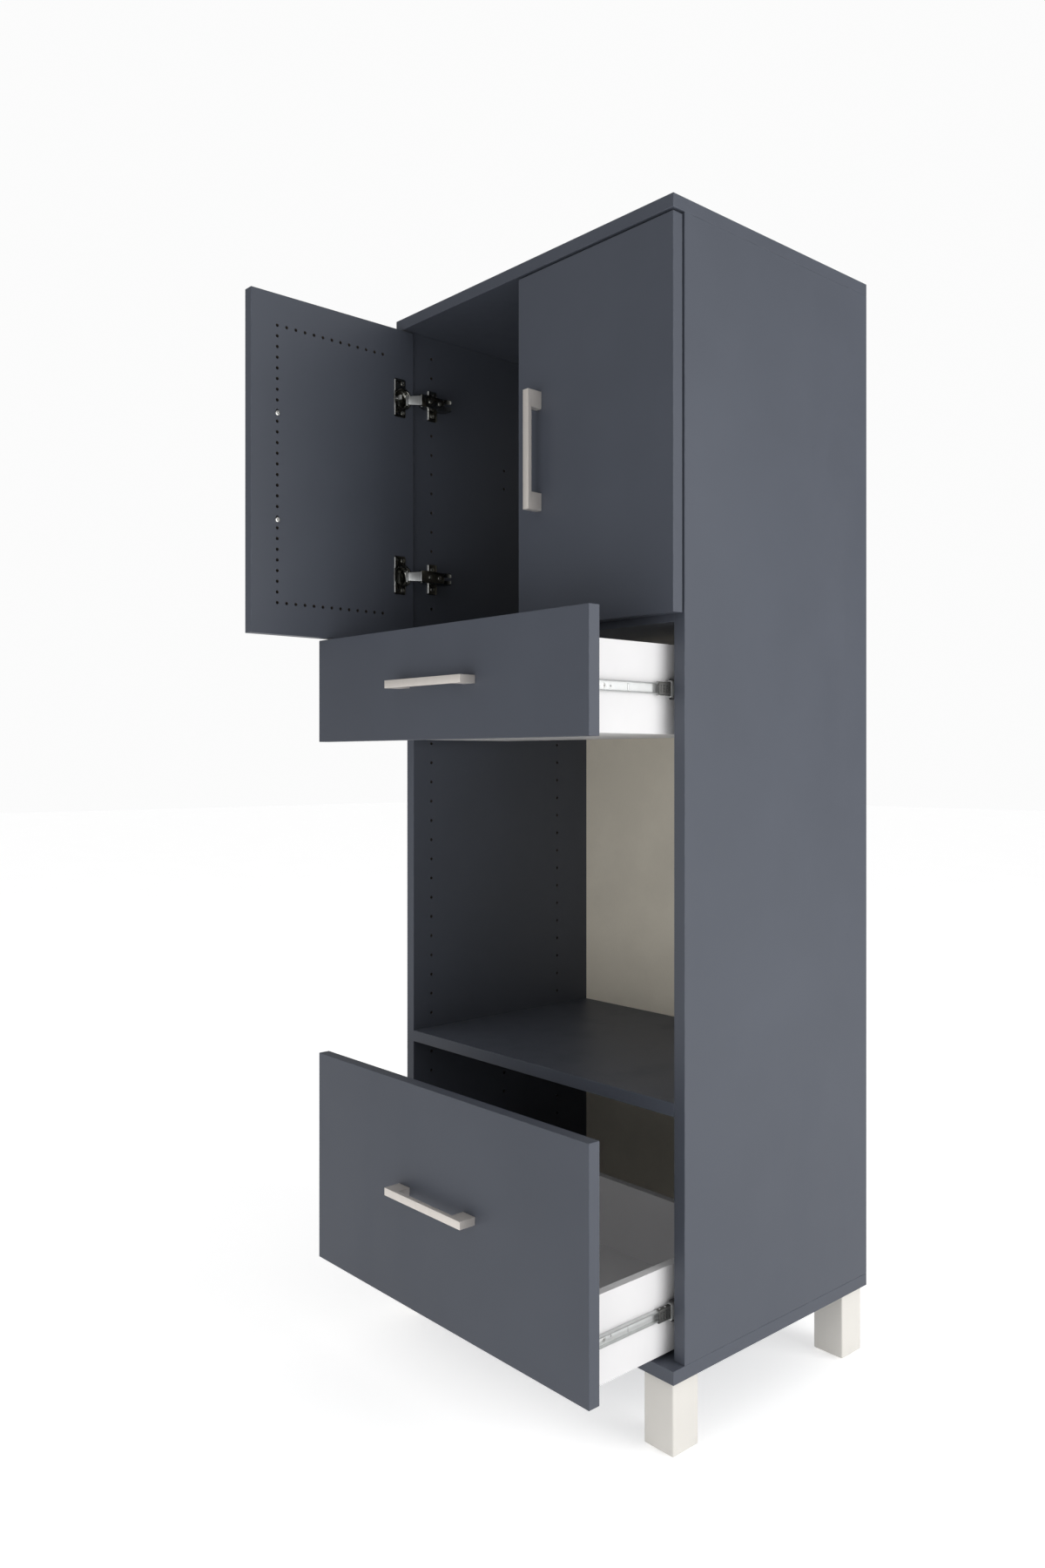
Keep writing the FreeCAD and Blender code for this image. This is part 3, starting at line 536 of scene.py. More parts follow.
def lathe(bm, outline, steps=48):
    """Turns an outline of (radius, height) points about the upright axis."""
    points = [bm.verts.new((r, 0.0, h)) for r, h in outline]
    runs = [bm.edges.new(pair) for pair in zip(points, points[1:])]
    bmesh.ops.spin(bm, geom=points + runs, cent=(0, 0, 0), axis=UP, dvec=(0, 0, 0),
                   angle=FULL_TURN, steps=steps, use_merge=True, use_duplicate=False)
    bmesh.ops.remove_doubles(bm, verts=bm.verts, dist=1e-6)
    bmesh.ops.recalc_face_normals(bm, faces=bm.faces)


def loop_of(bm, points):
    """A closed wire through some points. Returns its edges."""
    verts = [bm.verts.new(p) for p in points]
    return [bm.edges.new((a, b)) for a, b in zip(verts, verts[1:] + verts[:1])]


def ring(bm, centre, radius, segments=24):
    made = bmesh.ops.create_circle(bm, cap_ends=False, radius=radius, segments=segments,
                                   matrix=Matrix.Translation(centre))["verts"]
    return list({e for v in made for e in v.link_edges})


def pressed_plate(bm, loops, thick):
    """Fills between closed wires in the XY plane, so inner ones are holes, and thickens it up."""
    wires = [e for loop in loops for e in loop]
    filled = bmesh.ops.triangle_fill(bm, use_beauty=True, use_dissolve=False, edges=wires,
                                     normal=(0.0, 0.0, 1.0))["geom"]
    faces = [f for f in filled if isinstance(f, bmesh.types.BMFace)]
    made = bmesh.ops.extrude_face_region(bm, geom=faces)["geom"]
    lifted = [v for v in made if isinstance(v, bmesh.types.BMVert)]
    bmesh.ops.translate(bm, vec=(0, 0, thick), verts=lifted)
    bmesh.ops.recalc_face_normals(bm, faces=bm.faces)
    return lifted


def outline_wire(bm, outline, radius, segments=4):
    """A closed wire through (x, y) points, its corners rounded."""
    face = bm.faces.new([bm.verts.new((x, y, 0.0)) for x, y in outline])
    bmesh.ops.bevel(bm, geom=face.verts[:], offset=radius, offset_type="OFFSET",
                    segments=segments, profile=0.5, affect="VERTICES", clamp_overlap=True,
                    material=-1)
    flat = max(bm.faces, key=lambda f: f.calc_area())
    wire = flat.edges[:]
    bmesh.ops.delete(bm, geom=[flat], context="FACES_ONLY")
    return wire


def moved(bm, matrix):
    """Everything in this mesh, carried by a matrix."""
    bmesh.ops.transform(bm, matrix=matrix, verts=bm.verts)
    if matrix.determinant() < 0:
        bmesh.ops.reverse_faces(bm, faces=bm.faces)
    return bm


def add_copy(bm, part, matrix):
    """Adds a copy of a part to bm, carried by a matrix."""
    mesh = bpy.data.meshes.new("copy")
    part.to_mesh(mesh)
    mesh.transform(matrix)
    if matrix.determinant() < 0:
        mesh.flip_normals()
    bm.from_mesh(mesh)
    bpy.data.meshes.remove(mesh)


def worked(bm, thick=None, tools=None):
    """Gives a sheet its thickness and cuts tools out of it. Returns the new mesh."""
    mesh = bpy.data.meshes.new("work")
    bm.to_mesh(mesh)
    bm.free()
    work = bpy.data.objects.new("work", mesh)
    bpy.context.scene.collection.objects.link(work)
    spare = [work]
    if thick:
        wall = work.modifiers.new("wall", "SOLIDIFY")
        wall.thickness, wall.offset, wall.use_even_offset = thick, 0.0, True
    if tools:
        tool_mesh = bpy.data.meshes.new("tool")
        tools.to_mesh(tool_mesh)
        tools.free()
        tool = bpy.data.objects.new("tool", tool_mesh)
        bpy.context.scene.collection.objects.link(tool)
        spare.append(tool)
        cut = work.modifiers.new("cut", "BOOLEAN")
        cut.operation, cut.object, cut.solver = "DIFFERENCE", tool, "EXACT"
    seen = bpy.context.evaluated_depsgraph_get()
    done = bpy.data.meshes.new_from_object(work.evaluated_get(seen))
    made = bmesh.new()
    made.from_mesh(done)
    bpy.data.meshes.remove(done)
    for item in spare:
        data = item.data
        bpy.data.objects.remove(item)
        bpy.data.meshes.remove(data)
    return made


SHARP_FROM = math.radians(32)


def piece(bm, name, body, material, stands_for=()):
    """Makes the finished object, sets it riding and hides the CAD nodes that it stands for."""
    bmesh.ops.recalc_face_normals(bm, faces=bm.faces)
    mesh = bpy.data.meshes.new(name)
    bm.to_mesh(mesh)
    bm.free()
    mesh.polygons.foreach_set("use_smooth", [True] * len(mesh.polygons))
    mesh.set_sharp_from_angle(angle=SHARP_FROM)
    mesh.materials.append(material)
    made = bpy.data.objects.new(name, mesh)
    bpy.context.scene.collection.objects.link(made)
    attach(made, body)
    if stands_for:
        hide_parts(*stands_for)
    return made


def paint(node, material):
    """Gives a CAD node its material."""
    mesh = frame["nodes"][node].data
    mesh.materials.clear()
    mesh.materials.append(material)


def turn_about(point, angle, axis="Z"):
    """A turn about an axis through a point."""
    return Matrix.Translation(point) @ Matrix.Rotation(angle, 4, axis) @ Matrix.Translation(-point)


MIRROR = Matrix.Scale(-1.0, 4, Vector((1.0, 0.0, 0.0)))


def left_of(point):
    return Vector((-point.x, point.y, 0.0))


def left_link_place():
    return turn_about(left_of(ARM_AXIS), OPEN_LINK_TURN) @ MIRROR


def left_door_place():
    swing = turn_about(left_of(CUP_AXIS), OPEN_DOOR_TURN)
    return turn_about(left_of(ARM_AXIS), OPEN_LINK_TURN) @ swing @ MIRROR


def at_height(z):
    return Matrix.Translation((0.0, 0.0, z))


def stretch(bm, edges, shift=NOWHERE, scale=None):
    """Draws wires out into a wall, and narrows or widens them. Returns the new wires."""
    made = bmesh.ops.extrude_edge_only(bm, edges=edges)["geom"]
    verts = [v for v in made if isinstance(v, bmesh.types.BMVert)]
    own = set(verts)
    bmesh.ops.translate(bm, vec=shift, verts=verts)
    if scale is not None:
        bmesh.ops.scale(bm, vec=(scale, scale, 1.0), verts=verts)
    return [e for e in made if isinstance(e, bmesh.types.BMEdge)
            and e.verts[0] in own and e.verts[1] in own]


def cross_recess(bm, arm, level, deep):
    """A cross-shaped pocket. Returns the wire of its mouth."""
    half = arm * 0.26
    outline = [(arm, -half), (arm, half), (half, half), (half, arm), (-half, arm), (-half, half),
               (-arm, half), (-arm, -half), (-half, -half), (-half, -arm), (half, -arm),
               (half, -half)]
    mouth = loop_of(bm, [(x, y, level) for x, y in outline])
    bmesh.ops.contextual_create(bm, geom=stretch(bm, mouth, (0, 0, -deep), 0.8))
    return mouth


def cross_screw(head, shank, slot=0.58, dome=0.3, sides=20):
    """A screw along Z, its head standing on z = 0 and its shank below."""
    head_radius, head_high = head
    shank_radius, shank_long = shank
    bm = bmesh.new()
    top = head_radius * (1 - 0.5 * dome)
    rim = ring(bm, (0, 0, head_high), top, sides)
    mouth = cross_recess(bm, head_radius * slot, head_high, head_high * 0.8)
    bmesh.ops.triangle_fill(bm, use_beauty=True, use_dissolve=False, edges=rim + mouth,
                            normal=(0.0, 0.0, 1.0))
    slope = head_high * (0.12 + 0.4 * dome)
    rim = stretch(bm, rim, (0, 0, -slope * 0.4), (1 - 0.16 * dome) / (1 - 0.5 * dome))
    rim = stretch(bm, rim, (0, 0, -slope * 0.6), 1 / (1 - 0.16 * dome))
    rim = stretch(bm, rim, (0, 0, slope - head_high))
    rim = stretch(bm, rim, NOWHERE, shank_radius / head_radius)
    rim = stretch(bm, rim, (0, 0, -shank_long * 0.9))
    rim = stretch(bm, rim, (0, 0, -shank_long * 0.1), 0.35)
    bmesh.ops.contextual_create(bm, geom=rim)
    bmesh.ops.recalc_face_normals(bm, faces=bm.faces)
    return bm


# Each screw's head radius and height, shank radius and length, and how its head is shaped.
SCREWS = {
    "hinge_plate": {"head": (0.0036, 0.0011), "shank": (0.0023, 0.013), "dome": 0.5},
    "hinge_arm": {"head": (0.0032, 0.0014), "shank": (0.002, 0.012), "dome": 0.35},
    "cup": {"head": (0.0034, 0.0009), "shank": (0.002, 0.012), "dome": 0.6},
    "drawer_rail": {"head": (0.0032, 0.0012), "shank": (0.0019, 0.010), "slot": 0.5,
                    "dome": 0.2, "sides": 16},
    "cabinet_rail": {"head": (0.0032, 0.0012), "shank": (0.0019, 0.013), "slot": 0.5,
                     "dome": 0.2, "sides": 16},
    "box_front": {"head": (0.0036, 0.0018), "shank": (0.002, 0.024), "sides": 16},
}
HANDLE_SCREW_HEAD = (0.004, 0.0022)
HANDLE_SCREW_RADIUS = 0.002


def facing(point, direction, spin=0.0):
    """Carries a part made along Z to a point, its Z axis along a direction."""
    turn = Vector(direction).to_track_quat("Z", "Y").to_matrix().to_4x4()
    return Matrix.Translation(point) @ turn @ Matrix.Rotation(spin, 4, "Z")


# A plate made flat in XY is carried to the right side panel (its Z points into the cabinet
# and its X to the front) or to the back of a closed door (its Z points into the cabinet).
ON_SIDE = Matrix(((0, 0, -1, 0), (-1, 0, 0, 0), (0, 1, 0, 0), (0, 0, 0, 1)))
ON_DOOR = Matrix(((1, 0, 0, 0), (0, 0, 1, 0), (0, -1, 0, 0), (0, 0, 0, 1)))
ROW_Y = FRONT_Y + 0.037
DOOR_INSIDE_Y = CLOSED_DOOR[1].y
PITCH = 0.032


# ---------------------------------------------------------------- boards
BOARDS = {
    "laminate": ["left_side_panel", "right_side_panel", "top_panel", "bottom_panel",
                 "niche_shelf", "upper_shelf", "left_door_panel", "right_door_panel",
                 "upper_drawer_front", "lower_drawer_front"],
    "white": [drawer + part for drawer in ("upper_drawer_", "lower_drawer_")
              for part in ("box_front", "left_side", "right_side", "back", "bottom")],
}


class PANTRY_OT_finish_boards(bpy.types.Operator):
    """Gives every melamine board and the back board their surfaces"""
    bl_idname = "pantry.finish_boards"
    bl_label = "Finish the boards"

    def execute(self, context):
        colours = context.scene.pantry_colours
        for node in BOARDS["laminate"]:
            label = node.replace("_", " ").capitalize() + " melamine"
            paint(node, board_material(label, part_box(node), colours.laminate, colours.core))
        for node in BOARDS["white"]:
            label = node.replace("_", " ").capitalize() + " melamine"
            paint(node, board_material(label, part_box(node), colours.white, colours.core,
                                       gloss=0.38, arris_paling=0.0, seam=0.12))
        paint("back_panel", finish("back"))
        return {"FINISHED"}


class PANTRY_OT_finish_hidden(bpy.types.Operator):
    """Gives the dowels, cam bolts and leg bolts inside the boards their surfaces"""
    bl_idname = "pantry.finish_hidden"
    bl_label = "Finish the hidden joinery"

    def execute(self, context):
        paint("carcass_dowels", finish("beech"))
        paint("shelf_cam_bolts", finish("screw"))
        paint("leg_bolts", finish("screw"))
        return {"FINISHED"}


# ---------------------------------------------------------------- handles
def handle_bow(length, reach, width, sizes):
    """A bow handle along X, its feet on y = 0 and its bar towards -Y."""
    bm = bmesh.new()
    end, foot_end = length / 2, length / 2 - sizes.foot
    deep = reach - sizes.bar
    outline = [(-end, 0), (-end, -reach), (end, -reach), (end, 0),
               (foot_end, 0), (foot_end, -deep), (-foot_end, -deep), (-foot_end, 0)]
    face = bm.faces.new([bm.verts.new((x, y, -width / 2)) for x, y in outline])
    raised = bmesh.ops.extrude_face_region(bm, geom=[face])["geom"]
    bmesh.ops.translate(bm, vec=(0, 0, width),
                        verts=[v for v in raised if isinstance(v, bmesh.types.BMVert)])
    bmesh.ops.recalc_face_normals(bm, faces=bm.faces)
    inner = [e for e in bm.edges if all(abs(abs(v.co.x) - foot_end) < 1e-6
                                        and abs(v.co.y + deep) < 1e-6 for v in e.verts)]
    ease(bm, inner, sizes.inner_corner, 4)
    ease(bm, edges_of(bm.verts[:]), sizes.outer_edge, 3)
    return bm


class PANTRY_OT_build_handles(bpy.types.Operator):
    """Builds the four bow handles and the screws behind them"""
    bl_idname = "pantry.build_handles"
    bl_label = "Build the handles"

    def execute(self, context):
        sizes = context.scene.pantry_handle
        screws = {}
        for drawer in ("upper_drawer", "lower_drawer"):
            low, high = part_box(drawer + "_handle")
            bm = handle_bow(high.x - low.x, high.y - low.y, high.z - low.z, sizes)
            place = Matrix.Translation((middle((low, high)).x, high.y, (low.z + high.z) / 2))
            piece(moved(bm, place), drawer + "_bow_handle", drawer, finish("nickel_lying"),
                  (drawer + "_handle",))
            screws[drawer] = (Vector((0, 1, 0)), Vector((1, 0, 0)))
        low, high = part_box("right_door_handle")
        upright = Matrix.Rotation(math.radians(90), 4, "Y")
        place = Matrix.Translation(((low.x + high.x) / 2, high.y, (low.z + high.z) / 2)) @ upright
        bm = handle_bow(high.z - low.z, high.y - low.y, high.x - low.x, sizes)
        piece(moved(bm, place), "right_door_bow_handle", "right_door", finish("nickel_upright"),
              ("right_door_handle",))
        screws["right_door"] = (Vector((0, 1, 0)), UP)
        low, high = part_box("left_door_handle")
        swung = Matrix.Rotation(math.radians(-90), 4, "Z") @ upright
        place = Matrix.Translation((high.x, (low.y + high.y) / 2, (low.z + high.z) / 2)) @ swung
        bm = handle_bow(high.z - low.z, high.x - low.x, high.y - low.y, sizes)
        piece(moved(bm, place), "left_door_bow_handle", "left_door", finish("nickel_upright"),
              ("left_door_handle",))
        screws["left_door"] = (Vector((1, 0, 0)), UP)
        for body, (back, along) in screws.items():
            self.add_screws(body, back, along)
        return {"FINISHED"}

    @staticmethod
    def add_screws(body, back, along):
        """Two pan-head screws whose heads stand where the CAD ones do."""
        node = body + "_handle_screws"
        low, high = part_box(node)
        head_radius, head_high = HANDLE_SCREW_HEAD
        long = (high - low).dot(back) - head_high
        screw = cross_screw(HANDLE_SCREW_HEAD, (HANDLE_SCREW_RADIUS, long))
        bm = bmesh.new()
        span = (high - low).dot(along) / 2 - head_radius
        for side in SIDES:
            point = middle((low, high)) + along * span * side
            point += back * ((high - low).dot(back) / 2 - head_high)
            add_copy(bm, screw, facing(point, back, 0.5 * side))
        screw.free()
        piece(bm, body + "_handle_screw_pair", body, finish("screw"), (node,))


# ---------------------------------------------------------------- legs
class PANTRY_OT_build_legs(bpy.types.Operator):
    """Builds the four square legs with their glides"""
    bl_idname = "pantry.build_legs"
    bl_label = "Build the legs"
    glide: FloatProperty(name="Glide height", description="Height of the pad under each leg",
                         default=0.004, subtype="DISTANCE", unit="LENGTH")

    def execute(self, context):
        pads = bmesh.new()
        for name in ("front_left", "front_right", "back_left", "back_right"):
            low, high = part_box("leg_" + name)
            bm = bmesh.new()
            post = block(bm, (low.x, low.y, self.glide), high)
            upright = [e for e in edges_of(post) if abs(e.verts[0].co.z - e.verts[1].co.z) > 0.01]
            ease(bm, upright, 0.0022, 4)
            ease(bm, edges_of(bm.verts[:]), 0.0009, 2)
            piece(bm, "square_leg_" + name, "cabinet", finish("leg"),
                  ("leg_" + name,))
            pad = bmesh.new()
            lathe(pad, [(0, 0), (0.0165, 0), (0.018, 0.0012), (0.018, self.glide + 0.001),
                        (0, self.glide + 0.001)], 32)
            centre = middle((low, high))
            add_copy(pads, pad, Matrix.Translation((centre.x, centre.y, 0)))
            pad.free()
        piece(pads, "leg_glides", "cabinet", finish("plastic"))
        return {"FINISHED"}


# ---------------------------------------------------------------- hinges
ARM_STANDS_OFF = 0.022
ARM_HALF = 0.010
ARM_LONG = 0.058
ARM_PIN_HALF = 0.0104
SADDLE_HALF = 0.006
SLOT_HALF = 0.0028
FLANGE_STEEL = 0.0012
CUP_SCREW_OUT = 0.024
CORNER = 0.0025
GLINT_GAP_HALF = 0.0108
DAMPER_LEAN = -0.42
NEAR = 1e-6


def hinge_plate(sizes):
    """Cross-shaped mounting plate with its saddle, for the right side panel, at z = 0."""
    bm = bmesh.new()
    ahead, wing, spine, tall = 0.023, 0.009, 0.007, 0.025
    outline = [(ahead, -spine), (ahead, spine), (wing, spine), (wing, tall), (-wing, tall),
               (-wing, spine), (-ahead, spine), (-ahead, -spine), (-wing, -spine),
               (-wing, -tall), (wing, -tall), (wing, -spine)]
    wires = [outline_wire(bm, outline, 0.0022)]
    wires += [ring(bm, (0, s * PITCH / 2, 0), 0.0024, 20) for s in SIDES]
    wires.append(ring(bm, (-0.0185, 0, 0), 0.0022, 16))
    top = pressed_plate(bm, wires, sizes.plate_steel)
    ease(bm, edges_of(top), 0.0005, 2)
    moved(bm, Matrix.Translation((INNER_X, ROW_Y, 0)) @ ON_SIDE)
    saddle = block(bm, (INNER_X - 0.016, ROW_Y - 0.027, -SADDLE_HALF),
                   (INNER_X, ROW_Y + 0.015, SADDLE_HALF))
    ease(bm, edges_of(saddle), 0.0012, 3)
    return bm


def plate_painted_glints():
    """Bright plating strips along the front of a mounting plate's wings, painting a highlight
    there, at z = 0.
    """
    bm = bmesh.new()
    for side in SIDES:
        low, high = sorted((side * 0.0085, side * 0.0235))
        glint_strip = block(bm, (INNER_X - 0.0042, ROW_Y - 0.0104, low),
                    (INNER_X - 0.0002, ROW_Y - 0.0085, high))
        crest = [e for e in edges_of(glint_strip) if all(v.co.y < ROW_Y - 0.010 and v.co.x < INNER_X - 0.004
                                                 for v in e.verts)]
        ease(bm, crest, 0.0013, 1)
    return bm


def hinge_arm(sizes):
    """Pressed channel arm, forked at its nose and slotted at its tail, at z = 0."""
    nose, tail = FRONT_Y - 0.0002, FRONT_Y + ARM_LONG
    top, foot = INNER_X - ARM_STANDS_OFF + sizes.steel / 2, INNER_X - 0.005
    half = ARM_HALF - sizes.steel / 2
    mouth, shoulder, slot = ARM_AXIS.y + 0.0034, FRONT_Y + 0.014, FRONT_Y + 0.046
    bm = bmesh.new()
    corners = [(foot, -half), (top, -half), (top, half), (foot, half)]
    points = [bm.verts.new((x, nose, z)) for x, z in corners]
    stretch(bm, [bm.edges.new(pair) for pair in zip(points, points[1:])], (0, tail - nose, 0))
    for at, across in ((mouth, (0, 1, 0)), (shoulder, (0, 1, 0)), (slot, (0, 1, 0)),
                       (tail - 0.006, (0, 1, 0)), (SLOT_HALF, UP), (-SLOT_HALF, UP)):
        bmesh.ops.bisect_plane(bm, geom=bm.verts[:] + bm.edges[:] + bm.faces[:],
                               plane_co=Vector(across) * at, plane_no=across, dist=1e-7)
    gone = []
    for f in bm.faces:
        c = f.calc_center_median()
        flat = all(abs(v.co.x - top) < NEAR for v in f.verts)
        if flat and c.y > slot and abs(c.z) < SLOT_HALF:
            gone.append(f)
    bmesh.ops.delete(bm, geom=gone, context="FACES")
    for v in bm.verts:
        if v.co.x > foot - NEAR:
            if v.co.y < shoulder - NEAR:
                v.co.x = ARM_AXIS.x + 0.0035
            elif v.co.y > tail - 0.005:
                v.co.x = foot - 0.006
        elif v.co.y < mouth + NEAR:
            v.co.x = top - 0.0019
        elif v.co.y > tail - 0.001:
            v.co.x = top - 0.0045
    folds = [e for e in bm.edges if len(e.link_faces) == 2 and e.calc_face_angle(0) > 1.0]
    ease(bm, folds, 0.0022, 4)
    return worked(bm, thick=sizes.steel)


def hinge_link(sizes):
    """Link from the arm's pin to the cup's pin in a closed hinge, at z = 0."""
    run = CUP_AXIS - ARM_AXIS
    run.z = 0.0
    half = sizes.link_width / 2
    bm = bmesh.new()
    plate = block(bm, (0, -0.0009, -half), (run.length, 0.0009, half))
    narrow = [v for v in plate if v.co.x > run.length / 2]
    bmesh.ops.scale(bm, vec=(1.0, 1.0, 0.84), verts=narrow)
    ease(bm, edges_of(plate), 0.0004, 2)
    eased_rod(bm, (0, 0, -half), (0, 0, half), 0.0026, 0.0004, 28)
    eased_rod(bm, (run.length, 0, -half * 0.84), (run.length, 0, half * 0.84), 0.0022, 0.0004, 28)
    for side in SIDES:
        low, high = sorted((side * half * 0.80, side * half * 0.68))
        rib = block(bm, (0.004, 0.0006, low), (run.length - 0.004, 0.0015, high))
        ease(bm, edges_of(rib), 0.0003, 2)
    turn = Matrix.Rotation(math.atan2(run.y, run.x), 4, "Z")
    return moved(bm, Matrix.Translation((ARM_AXIS.x, ARM_AXIS.y, 0)) @ turn)


def hinge_cup(sizes, cup_x):
    """Drawn cup with its screw flange, let into the back of the closed right door, at z = 0."""
    r, deep, t = sizes.cup_radius, sizes.cup_depth, 0.0010
    plate = bmesh.new()
    low, high = -sizes.flange_width + sizes.flange_lap, sizes.flange_lap
    tall = sizes.flange_height / 2
    outline = [(high, tall), (low, tall), (low, -tall), (high, -tall)]
    wires = [outline_wire(plate, outline, CORNER)]
    wires += [ring(plate, (0, s * CUP_SCREW_OUT, 0), 0.0021, 16) for s in SIDES]
    wires += [ring(plate, (-0.0100, s * 0.0245, 0), 0.0011, 12) for s in SIDES]
    ease(plate, edges_of(pressed_plate(plate, wires, FLANGE_STEEL)), 0.0003, 2)
    bore = bmesh.new()
    rod(bore, (0, 0, -0.01), (0, 0, 0.01), r - 0.001, segments=56)
    bm = worked(plate, tools=bore)
    lathe(bm, [(0, -deep), (r - 0.003, -deep), (r - 0.001, -deep + 0.0008), (r, -deep + 0.003),
               (r, 0.0), (r + 0.0006, 0.0004), (r + 0.0004, 0.0012), (r - 0.0017, 0.0013),
               (r - 0.0025, 0.0008), (r - 0.0026, -0.0012), (r - t, -0.0022),
               (r - t, -deep + 0.0035), (r - t - 0.002, -deep + t), (0, -deep + t)], 56)
    pin_x = CUP_AXIS.x - cup_x
    for side in SIDES:
        low, high = sorted((side * 0.009, side * 0.012))
        lug = block(bm, (pin_x - 0.0024, low, -0.006), (pin_x + 0.0024, high, 0.0004))
        ease(bm, edges_of(lug), 0.0005, 2)
    return moved(bm, Matrix.Translation((cup_x, DOOR_INSIDE_Y, 0)) @ ON_DOOR)


def cup_painted_glint(sizes, cup_x):
    """Bright plating strip along the free side of a cup's flange, painting a highlight there, at z
    = 0.
    """
    bm = bmesh.new()
    low, tall = sizes.flange_lap - sizes.flange_width, sizes.flange_height / 2 - CORNER
    foot, crown, flat = 0.0011, 0.0026, 0.0016
    for start, end, high in ((-tall, -GLINT_GAP_HALF, crown), (-GLINT_GAP_HALF, GLINT_GAP_HALF, flat),
                             (GLINT_GAP_HALF, tall, crown)):
        glint_strip = block(bm, (low - 0.0003, start, foot), (low + 0.0013, end, high))
        crest = [e for e in edges_of(glint_strip)
                 if all(v.co.x < low and v.co.z > high - 0.0001 for v in e.verts)]
        ease(bm, crest, (high - foot) * 0.6, 1)
    return moved(bm, Matrix.Translation((cup_x, DOOR_INSIDE_Y, 0)) @ ON_DOOR)


def damper(cup_x):
    """The small closing damper that stands in a cup."""
    bm = bmesh.new()
    head = block(bm, (-0.0052, -0.0062, -0.0050), (-0.0010, 0.0014, 0.0002))
    ease(bm, edges_of(head), 0.0004, 1)
    moved(bm, turn_about(Vector((-0.0026, 0, 0)), DAMPER_LEAN, "Y"))
    body = block(bm, (-0.0046, -0.0060, -0.0112), (-0.0006, 0.0014, -0.0030))
    ease(bm, edges_of(body), 0.0007, 2)
    for level in (-0.0080, -0.0045, -0.0010):
        groove = block(bm, (-0.0050, -0.0052, level - 0.0005), (-0.0040, 0.0006, level + 0.0005))
        ease(bm, edges_of(groove), 0.0002, 1)
    eased_rod(bm, (-0.0075, -0.0023, -0.0100), (-0.0040, -0.0023, -0.0100), 0.0018, 0.0004, 16)
    return moved(bm, Matrix.Translation((cup_x, DOOR_INSIDE_Y, 0)) @ ON_DOOR)


